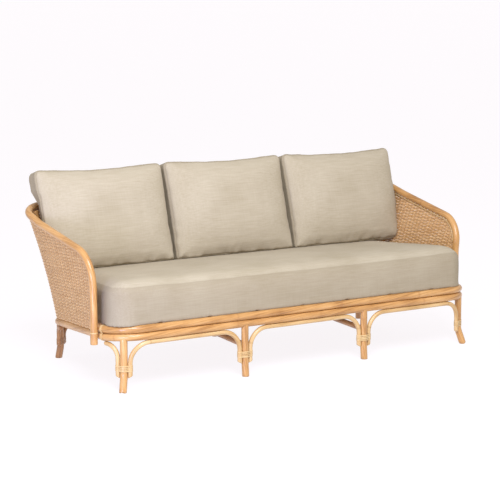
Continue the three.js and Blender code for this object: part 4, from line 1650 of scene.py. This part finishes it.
@dataclass(frozen=True)
class CushionCut:
    """The cut of a cushion in its own flat axes, in metres.

    u runs across, v runs back or up, and w runs from the underside or rear face to the face that is seen.
    """

    corners: tuple[tuple[float, float], ...]
    radii: tuple[float, float, float, float]
    boxing: float
    crown: float
    under_crown: float
    draw_in: tuple[float, float, float, float]
    voxel: float
    cap: float
    side_cap: float
    edge: float
    under_edge: float
    crown_power: float = 2.6

    def seam_line(self, spacing: float) -> tuple[Array, Array]:
        """Lay out the seam.

        Args:
            spacing: Distance between its points.

        Returns:
            The seam's points in u and v, and the outward directions there.
        """
        corners = [np.array([u, v, 0.0]) for u, v in self.corners]
        start = (corners[0] + corners[1]) / 2.0
        route = Route([start, *corners[1:], corners[0], start], [*self.radii[1:], self.radii[0]])
        points, normals = [], []
        last = len(route.pieces) - 1
        for index, piece in enumerate(route.pieces):
            count = max(2, round(piece.length / spacing))
            for share in np.arange(count) / count:
                point, along = route.at(route.start_of(index) + piece.length * share)
                normal = np.array([along[1], -along[0]])
                along_side = {0: 0.5 + share / 2.0, last: share / 2.0}.get(index, share)
                drawn = 0.0 if piece.radius else math.sin(math.pi * along_side)
                points.append(point[:2] - normal * drawn * self.draw_in[(index // 2) % 4])
                normals.append(normal)
        return np.array(points), np.array(normals)

    def _crowned(self, points: Array, grow: float) -> Array:
        """Find how far the crown has risen at points of a face.

        Args:
            points: The points in u and v.
            grow: How far the face reaches past the cut, less than zero where it has drawn in.

        Returns:
            0 at its edges to 1 in the middle.
        """
        corners = np.array(self.corners)
        low, high = corners.min(axis=0) - grow, corners.max(axis=0) + grow
        across = np.clip(np.abs(2.0 * points - low - high) / (high - low), 0.0, 1.0)
        return np.prod(1.0 - across**self.crown_power, axis=1)

    def blank(self) -> tuple[Array, Array, Array]:
        """Skin the cushion before it is filled, from the middle of one face round to the middle of the other.

        Returns:
            Its points in rings, the points of both seams and the directions out of the cushion at those.
        """
        loop, normals = self.seam_line(self.voxel)
        centre = loop.mean(axis=0)
        turns = [(1.0 - math.sin(turn), 1.0 - math.cos(turn)) for turn in ROLL_ANGLES]
        under, edge, top = self.under_edge, self.edge, self.boxing
        levels = [(reach, -under, 0.0) for reach in FACE_REACHES]
        levels += [(1.0, -under * inward, under * rise) for inward, rise in turns]
        levels += [(1.0, 0.0, level) for level in np.linspace(under, top - edge, BOXING_RINGS)[1:-1]]
        levels += [(1.0, -edge * inward, top - edge * rise) for inward, rise in turns[::-1]]
        levels += [(reach, -edge, top) for reach in FACE_REACHES[::-1]]
        crowns = {0.0: -self.under_crown, top: self.crown}
        rings = []
        for reach, grow, level in levels:
            ring = centre + (loop + normals * grow - centre) * reach
            rise = crowns.get(level, 0.0) * self._crowned(ring, grow)
            rings.append(np.column_stack([ring, level + rise]))
        low, high = (size * (1.0 - math.sqrt(0.5)) for size in (under, edge))
        seams = [
            np.column_stack([loop - normals * sink, np.full(len(loop), level)])
            for sink, level in ((low, low), (high, top - high))
        ]
        outward = np.column_stack([normals, np.zeros(len(normals))])
        return np.concatenate(rings), np.concatenate(seams), np.vstack([outward, outward])


@dataclass
class Cushion:
    """A loose cushion: a blank filled until it swells, settled where it lies, with its seams pulled in."""

    name: str
    node: str
    body: str
    cut: CushionCut
    stand: Callable[[Array], Array]
    home: Matrix
    fill: float
    seed: int
    rest_axis: int
    rest_depth: float
    pressure: float = 4.0
    bending: float = 0.6
    quality: int = 4
    seam_depth: float = 0.0022
    seam_reach: float = 0.0055
    ridge_share: float = 0.35
    ridge_place: float = 0.010
    ridge_reach: float = 0.006
    pucker: float = 0.0024
    pucker_length: float = 0.034
    pucker_reach: float = 0.022
    foot_pucker: float = 2.2
    foot_share: float = 0.35
    lump: float = 0.0022
    lumps_a_metre: float = 7.0
    roll_hold: float = 0.0

    def start(self) -> None:
        """Sew the blank, even out its mesh and give it its cloth."""
        verts, seams, outward = self.cut.blank()
        loop = len(seams) // 2
        skins = Skins()
        skins.add(verts, *tube_faces(len(verts) // loop, loop))
        blank = skins.build(f"{self.name}_blank")
        even = blank.modifiers.new("even mesh", "REMESH")
        even.mode = "VOXEL"
        even.voxel_size = self.cut.voxel
        mesh = self._evaluated(blank)
        bpy.data.objects.remove(blank)
        self.piece = bpy.data.objects.new(self.name, mesh)
        bpy.context.scene.collection.objects.link(self.piece)
        self.before = positions(mesh)
        tree = search_tree(seams)
        signed = np.empty(len(self.before), dtype=np.float32)
        for row, point in enumerate(self.before):
            near, index, distance = tree.find(point)
            inward = -float(outward[index] @ (point - seams[index]))
            rise = (point[2] - near[2]) * (1.0 if index < loop else -1.0)
            signed[row] = distance if inward > rise else -distance
        mesh.attributes.new("seam", "FLOAT", "POINT").data.foreach_set("value", signed)
        cloth = self.piece.modifiers.new("filling", "CLOTH")
        cloth.settings.quality = self.quality
        cloth.settings.use_pressure = True
        cloth.settings.uniform_pressure_force = self.pressure
        cloth.settings.effector_weights.gravity = 0.0
        cloth.settings.bending_stiffness = self.bending
        cloth.point_cache.frame_end = FILL_FRAMES

    @staticmethod
    def _evaluated(piece: bpy.types.Object) -> bpy.types.Mesh:
        """Return a new mesh of a piece as its modifiers leave it."""
        return bpy.data.meshes.new_from_object(piece.evaluated_get(bpy.context.evaluated_depsgraph_get()))

    def swell(self) -> None:
        """Read the filled shape, hold back points that moved too far, and leave no cloth behind."""
        after = self.before
        after = positions(self.piece.evaluated_get(bpy.context.evaluated_depsgraph_get()).to_mesh())
        self.piece.modifiers.clear()
        moved = after - self.before
        caps = np.array([self.cut.side_cap, self.cut.side_cap, self.cut.cap])
        level = normals_of(self.piece.data)[:, 2:] ** 2
        moved = caps * np.tanh(moved / caps) * (1.0 - 4.0 * self.roll_hold * level * (1.0 - level))
        low = self.before[:, self.rest_axis] < self.rest_depth
        moved[low, self.rest_axis] = np.minimum(moved[low, self.rest_axis], 0.0)
        place(self.piece.data, self.before + moved)

    def settle(self) -> None:
        """Subdivide the skin, give it its seams and puckers and stand the cushion in place."""
        finer = self.piece.modifiers.new("finer", "SUBSURF")
        finer.levels = 1
        mesh = self._evaluated(self.piece)
        self.piece.modifiers.clear()
        self.piece.data = mesh
        points = positions(mesh)
        points = points + normals_of(mesh) * self._relief(mesh, points)[:, None]
        back = np.array(self.home.inverted())
        self.stood = self.stand(points)
        place(mesh, self.stood @ back[:3, :3].T + back[:3, 3])
        mesh.shade_smooth()
        self.piece.matrix_world = self.home

    def _relief(self, mesh: bpy.types.Mesh, points: Array) -> Array:
        """Work out the seams' grooves, the puckers beside them and the filling's soft lumps.

        Args:
            mesh: The filled skin, which knows its distance to the seams.
            points: Its points.

        Returns:
            How far each point moves outward.
        """
        seam = np.empty(len(points), dtype=np.float32)
        mesh.attributes["seam"].data.foreach_get("value", seam)
        groove = -self.seam_depth * np.exp(-((seam / self.seam_reach) ** 2))
        ridge = np.exp(-(((np.abs(seam) - self.ridge_place) / self.ridge_reach) ** 2))
        fine = points / self.pucker_length * np.array([1.0, 1.0, 0.2]) + np.array([0.0, 0.0, self.seed])
        folds = [noise.noise(Vector(point)) for point in fine]
        coarse = points * self.lumps_a_metre + np.array([0.0, 0.0, self.seed + 5.0])
        lumps = [noise.noise(Vector(point)) for point in coarse]
        low, high = points[:, 1].min(), points[:, 1].max()
        near_foot = 1.0 - fade(low, low + self.foot_share * (high - low), points[:, 1])
        puckers = self.pucker * np.array(folds) * np.exp(-np.abs(seam) / self.pucker_reach)
        puckers = puckers * (1.0 + self.foot_pucker * near_foot)
        return groove + self.ridge_share * self.seam_depth * ridge + puckers + self.lump * np.array(lumps)

    def dress(self, looks: Finishes) -> None:
        dress(self.piece, looks.linen, self.body, [self.node])


@dataclass
class Upholstery:
    """The one-piece seat cushion and the three back cushions that stand on it."""

    bones: Skeleton
    looks: Finishes
    front_gap: float = 0.014
    side_gap: float = 0.005
    rear_gap: float = 0.041
    overhang: float = 0.013
    seat_thickness: float = 0.178
    seat_crown: float = 0.010
    seat_room: float = 0.003
    seat_boxing_room: float = 0.008
    back_height: float = 0.434
    back_boxing: float = 0.086
    back_crown: float = 0.052
    back_lean: float = math.radians(16.5)
    back_gap: float = 0.004
    back_room: float = 0.001
    back_boxing_room: float = 0.010
    swell_room: float = 0.016
    crown_rest_share: float = 0.61
    arm_gap: float = 0.0185
    setback: float = 0.195
    squeeze: float = 0.046
    squeeze_height: float = 0.190
    squeeze_front_share: float = 0.66
    tuck: float = 0.030
    tuck_height: float = 0.350
    tuck_fade: float = 0.060
    side_play: float = 0.0017
    seat_sag: float = 0.009
    seat_drape: float = 0.003
    drape_height: float = 0.03
    sag_off_rail: tuple[float, float] = (0.8, 3.5)
    sag_off_pole: tuple[float, float] = (0.6, 4.0)
    drape_off_rail: tuple[float, float] = (0.9, 2.4)
    drape_off_pole: tuple[float, float] = (0.3, 1.2)
    hollow_share: float = 0.95
    front_bulge: float = 0.018
    bulge_start: float = 0.05
    bulge_rise: float = 0.12
    bulge_depth: float = 0.16
    front_slump: float = 0.010
    slump_depth: float = 0.24
    slump_half_widths: tuple[float, float] = (0.50, 0.86)
    lies_left: float = 0.012
    lies_left_depths: tuple[float, float] = (0.05, 0.35)
    touch_gap: float = 0.0006
    touch_reach: float = 0.002
    seat_top_reach: float = 0.11

    def __post_init__(self) -> None:
        """Work out where the seat cushion lies and how wide the back cushions are."""
        sizes = self.bones.sizes
        self.rest = self.bones.stack + sizes.pole / 2.0 + 2.0 * sizes.fit_gap
        self.width = 2.0 * (sizes.arm_half_width - self.arm_gap - self.back_gap) / 3.0
        self.depth = sizes.seat_depth - self.setback
        self.rail_points = self.bones.ring.points(np.linspace(0.0, self.bones.ring.length, 240))[:, :2]
        self.lean_sin, self.lean_cos = math.sin(self.back_lean), math.cos(self.back_lean)

    def build(self) -> None:
        """Make, fill, settle and dress the four cushions."""
        seat = self._seat()
        backs = [self._back(name, side) for name, side in (("left", -1), ("middle", 0), ("right", 1))]
        for cushion in (seat, *backs):
            cushion.start()
        for step in range(1, FILL_FRAMES + 1):
            bpy.context.scene.frame_set(step)
        for cushion in (seat, *backs):
            cushion.swell()
        bpy.context.scene.frame_set(1)
        seat.settle()
        self._read_seat_top(seat.stood)
        for cushion in backs:
            cushion.settle()
        for cushion in (seat, *backs):
            cushion.dress(self.looks)

    def _seat(self) -> Cushion:
        """Plan the seat cushion.

        Returns:
            The cushion, not yet sewn.
        """
        sizes = self.bones.sizes
        front = min(sizes.front_half_width, sizes.arm_front_half_width) - self.front_gap + self.seat_room
        rear = min(sizes.rear_half_width, sizes.arm_half_width) - self.side_gap - self.seat_room
        ahead = -self.overhang + self.seat_room
        behind = sizes.seat_depth - self.rear_gap - self.seat_room
        cut = CushionCut(
            corners=((-front, ahead), (front, ahead), (rear, behind), (-rear, behind)),
            radii=(0.088, 0.088, 0.084, 0.084),
            boxing=self.seat_thickness - self.seat_boxing_room,
            crown=self.seat_crown,
            under_crown=0.0,
            draw_in=(0.002, 0.002, 0.002, 0.002),
            voxel=0.010,
            cap=0.009,
            side_cap=0.007,
            edge=0.072,
            under_edge=0.004,
        )
        return Cushion(
            name="seat_cushion_cloth",
            node="seat_cushion",
            body="seat_cushion_body",
            cut=cut,
            stand=self._laid_on_deck,
            home=Matrix.Translation((0.0, self.bones.front_y, self.bones.seat_level(0.0) + self.rest)),
            fill=0.85,
            seed=3,
            rest_axis=2,
            rest_depth=0.06,
            seam_depth=0.0,
            pucker=0.0005,
            roll_hold=0.85,
        )

    def _laid_on_deck(self, points: Array) -> Array:
        """Lay the seat cushion on the sloping deck and let it sag, drape and bulge there.

        Args:
            points: Its points in the axes of its cut.

        Returns:
            The points where they lie.
        """
        bones, sizes = self.bones, self.bones.sizes
        u, v, w = points.T
        radius, pitch, reach = sizes.pole / 2.0, sizes.deck_spacing, (sizes.deck_count - 1) // 2
        plan = np.column_stack([u, v + bones.front_y])
        rail = np.array([np.min(np.sum((self.rail_points - spot) ** 2, axis=1)) for spot in plan]) ** 0.5
        deck = np.abs(u - pitch * np.clip(np.round(u / pitch), -reach, reach))
        w = np.maximum(w, 0.0)

        # flat on the poles and the rail, draped towards the rail and sagging a little between them
        off_rail, off_pole = rail / radius, deck / radius
        free = fade(*self.sag_off_rail, off_rail) * fade(*self.sag_off_pole, off_pole)
        hollow = radius - np.sqrt(radius**2 - np.minimum(rail, self.hollow_share * radius) ** 2)
        drape = (1.0 - fade(*self.drape_off_rail, off_rail)) * fade(*self.drape_off_pole, off_pole)
        sunk = (self.seat_sag * free + self.seat_drape * drape) * (1.0 - fade(0.0, self.drape_height, w))
        w = np.maximum(w - sunk, -np.maximum(hollow, self.seat_sag * free))

        # the front's top edge is sat on: it bulges forward and slumps, but not near the corners
        middle = 1.0 - fade(*self.slump_half_widths, np.abs(u))
        from_front = v + self.overhang
        bulge = self.front_bulge * np.clip((w - self.bulge_start) / self.bulge_rise, 0.0, 1.0) ** 1.5
        slump = self.front_slump * np.clip(w / self.seat_thickness, 0.0, 1.0) ** 2
        w = w - slump * middle * (1.0 - fade(0.0, self.slump_depth, from_front))
        v = v + bulge * middle * (1.0 - fade(0.0, self.bulge_depth, from_front))
        u = u - self.lies_left * (1.0 - fade(*self.lies_left_depths, v))
        return np.column_stack([u, bones.front_y + v, bones.seat_level(v) + self.rest + w])

    def _back(self, name: str, side: int) -> Cushion:
        """Plan one back cushion.

        Args:
            name: Its side's name.
            side: -1 at the left, 0 in the middle and 1 at the right.

        Returns:
            The cushion, not yet sewn.
        """
        half, height = self.width / 2.0 - self.back_room, self.back_height - self.back_room
        cut = CushionCut(
            corners=((-half, 0.0), (half, 0.0), (half, height), (-half, height)),
            radii=(0.012, 0.012, 0.026, 0.026),
            boxing=self.back_boxing - self.back_boxing_room,
            crown=self.back_crown - self.swell_room,
            under_crown=self.back_crown - self.swell_room,
            draw_in=(0.000, 0.004, 0.012, 0.004),
            voxel=0.0075,
            cap=self.swell_room,
            side_cap=0.003,
            edge=0.009,
            under_edge=0.009,
            crown_power=3.4,
        )
        axes = ((1.0, 0.0, 0.0), (0.0, self.lean_cos, -self.lean_sin), (0.0, self.lean_sin, self.lean_cos))
        node = f"back_cushion_{name}"
        return Cushion(
            name=f"{node}_cloth",
            node=node,
            body=f"{node}_body",
            cut=cut,
            stand=partial(self._stood_on_seat, side),
            home=Matrix.Translation(self._foot(side)) @ Matrix(axes).transposed().to_4x4(),
            fill=0.75,
            seed=11 + side,
            rest_axis=1,
            rest_depth=0.05,
        )

    def _foot(self, side: int) -> tuple[float, float, float]:
        """Find where a back cushion stands on the seat cushion.

        Args:
            side: -1 at the left, 0 in the middle and 1 at the right.

        Returns:
            The place of the middle of its foot.
        """
        top = self.bones.seat_level(self.depth) + self.rest + self.seat_thickness
        level = top + self.crown_rest_share * self.seat_crown + self.bones.sizes.fit_gap
        return side * (self.width + self.back_gap), self.bones.front_y + self.depth, level

    def _stood_on_seat(self, side: int, points: Array) -> Array:
        """Stand a back cushion on the seat, leaning back and pressed in beside the arm.

        Args:
            side: -1 at the left, 0 in the middle and 1 at the right.
            points: Its points in the axes of its cut.

        Returns:
            The points where they stand.
        """
        foot_x, foot_y, foot_z = self._foot(side)
        u, v, w = points.T
        thick = self.back_boxing - (w + self.back_boxing_room / 2.0)
        edge = self.width / 2.0 + self.side_play
        u = np.clip(u, -edge, edge)
        low = np.maximum(0.0, 1.0 - np.maximum(v, 0.0) / self.squeeze_height)
        outer = np.where(np.sign(u) == side, 2.0 * np.abs(u) / self.width, 0.0) if side else np.zeros(len(u))
        behind = np.clip(thick / self.back_boxing, 0.0, 1.0)
        tuck = self.tuck * np.clip((self.tuck_height - v) / self.tuck_fade, 0.0, 1.0) * behind
        front = self.squeeze_front_share
        squeeze = self.squeeze * (front + (1.0 - front) * behind)
        x = foot_x + u - side * outer * (squeeze * low**1.5 + tuck)
        y = foot_y + v * self.lean_sin + thick * self.lean_cos
        z = foot_z + v * self.lean_cos - thick * self.lean_sin
        return self._rested(np.column_stack([x, y, z]))

    def _read_seat_top(self, stood: Array) -> None:
        """Keep the top of the seat cushion's skin, to rest the back cushions on.

        Args:
            stood: The seat cushion's points where they lie.
        """
        self.tops = stood[stood[:, 2] > stood[:, 2].max() - self.seat_top_reach]
        self.tree = search_tree(self.tops * np.array([1.0, 1.0, 0.0]))

    def _rested(self, points: Array) -> Array:
        """Press flat whatever would sink into the seat cushion.

        Args:
            points: A back cushion's points.

        Returns:
            The same points, none of them under the seat cushion's top.
        """
        ceiling = self.tops[:, 2].max() + self.touch_reach
        for row in np.flatnonzero(points[:, 2] < ceiling):
            near = self.tree.find_n((points[row, 0], points[row, 1], 0.0), 4)
            level = max(self.tops[index, 2] for _, index, _ in near)
            points[row, 2] = max(points[row, 2], level + self.touch_gap)
        return points


# Studio


@dataclass
class Studio:
    """White floor, bright surroundings, one large soft light, a small cool one and the camera."""

    looks: Finishes
    surroundings: float = 0.62
    surroundings_colour: str = "#FFFAF4"
    key_power: float = 200.0
    key_place: tuple[float, float, float] = (-1.5, -2.9, 3.3)
    key_size: float = 2.0
    key_colour: str = "#F2F6FF"
    side_power: float = 26.0
    side_place: tuple[float, float, float] = (-2.3, -1.4, 0.3)
    side_size: float = 0.7
    side_colour: str = "#C0C8FF"
    aim: tuple[float, float, float] = (0.0, 0.0, 0.45)
    floor_half: float = 400.0
    lens: float = 1650.35 / 500.0 * 36.0  # focal length in pixels, of 500, on a sensor 36 mm wide
    eye: tuple[float, float, float] = (-3.78466, -5.93582, 1.56765)
    eye_down: float = 0.1584
    eye_turn: float = -0.5634

    def build(self) -> None:
        """Set up the floor, the lights and the camera."""
        scene = bpy.context.scene
        scene.view_settings.view_transform = "Standard"
        world = bpy.data.worlds.new("bright_studio")
        world.use_nodes = True
        sky = world.node_tree.nodes["Background"]
        sky.inputs["Color"].default_value = linear(self.surroundings_colour)
        sky.inputs["Strength"].default_value = self.surroundings
        scene.world = world
        half = self.floor_half
        mesh = bpy.data.meshes.new("studio_floor")
        corners = [(-half, -half, 0.0), (half, -half, 0.0), (half, half, 0.0), (-half, half, 0.0)]
        mesh.from_pydata(corners, [], [(0, 1, 2, 3)])
        mesh.materials.append(self.looks.floor)
        floor = bpy.data.objects.new("studio_floor", mesh)
        soft = (self.key_power, self.key_place, self.key_size, self.key_colour)
        key = self._light("key_light", *soft)
        cool = (self.side_power, self.side_place, self.side_size, self.side_colour)
        side = self._light("cool_side_light", *cool)
        data = bpy.data.cameras.new("photo_camera")
        data.lens = self.lens
        camera = bpy.data.objects.new("photo_camera", data)
        camera.location = self.eye
        camera.rotation_euler = (math.pi / 2.0 - self.eye_down, 0.0, self.eye_turn)
        scene.camera = camera
        for made in (floor, key, side, camera):
            scene.collection.objects.link(made)
        log.info("studio ready")

    def _light(
        self, name: str, power: float, place_at: tuple[float, float, float], size: float, colour: str
    ) -> bpy.types.Object:
        """Make a square area light turned to the middle of the sofa.

        Args:
            name: Its name.
            power: Its power in watts.
            place_at: Where it hangs.
            size: Its side's length.
            colour: Its colour.

        Returns:
            The light.
        """
        data = bpy.data.lights.new(name, "AREA")
        data.energy = power
        data.size = size
        data.color = linear(colour)[:3]
        made = bpy.data.objects.new(name, data)
        made.location = place_at
        made.rotation_euler = (Vector(self.aim) - Vector(place_at)).to_track_quat("-Z", "Y").to_euler()
        return made


def main() -> None:
    """Build every sub-assembly in order and set up the picture."""
    logging.basicConfig(level=logging.INFO, format="%(name)s: %(message)s")
    bones = Skeleton(FrameSizes())
    looks = Finishes()
    legs = Legs(bones, looks)
    lashings = RailLashings(bones, looks)
    for part in (
        SeatRing(bones, looks),
        TopRail(bones, looks),
        legs,
        Braces(bones, legs, lashings, looks),
        Underframe(bones, legs, looks),
        lashings,
        WovenWalls(bones, looks),
        Upholstery(bones, looks),
        Studio(looks),
    ):
        part.build()


if __name__ == "__main__":
    main()
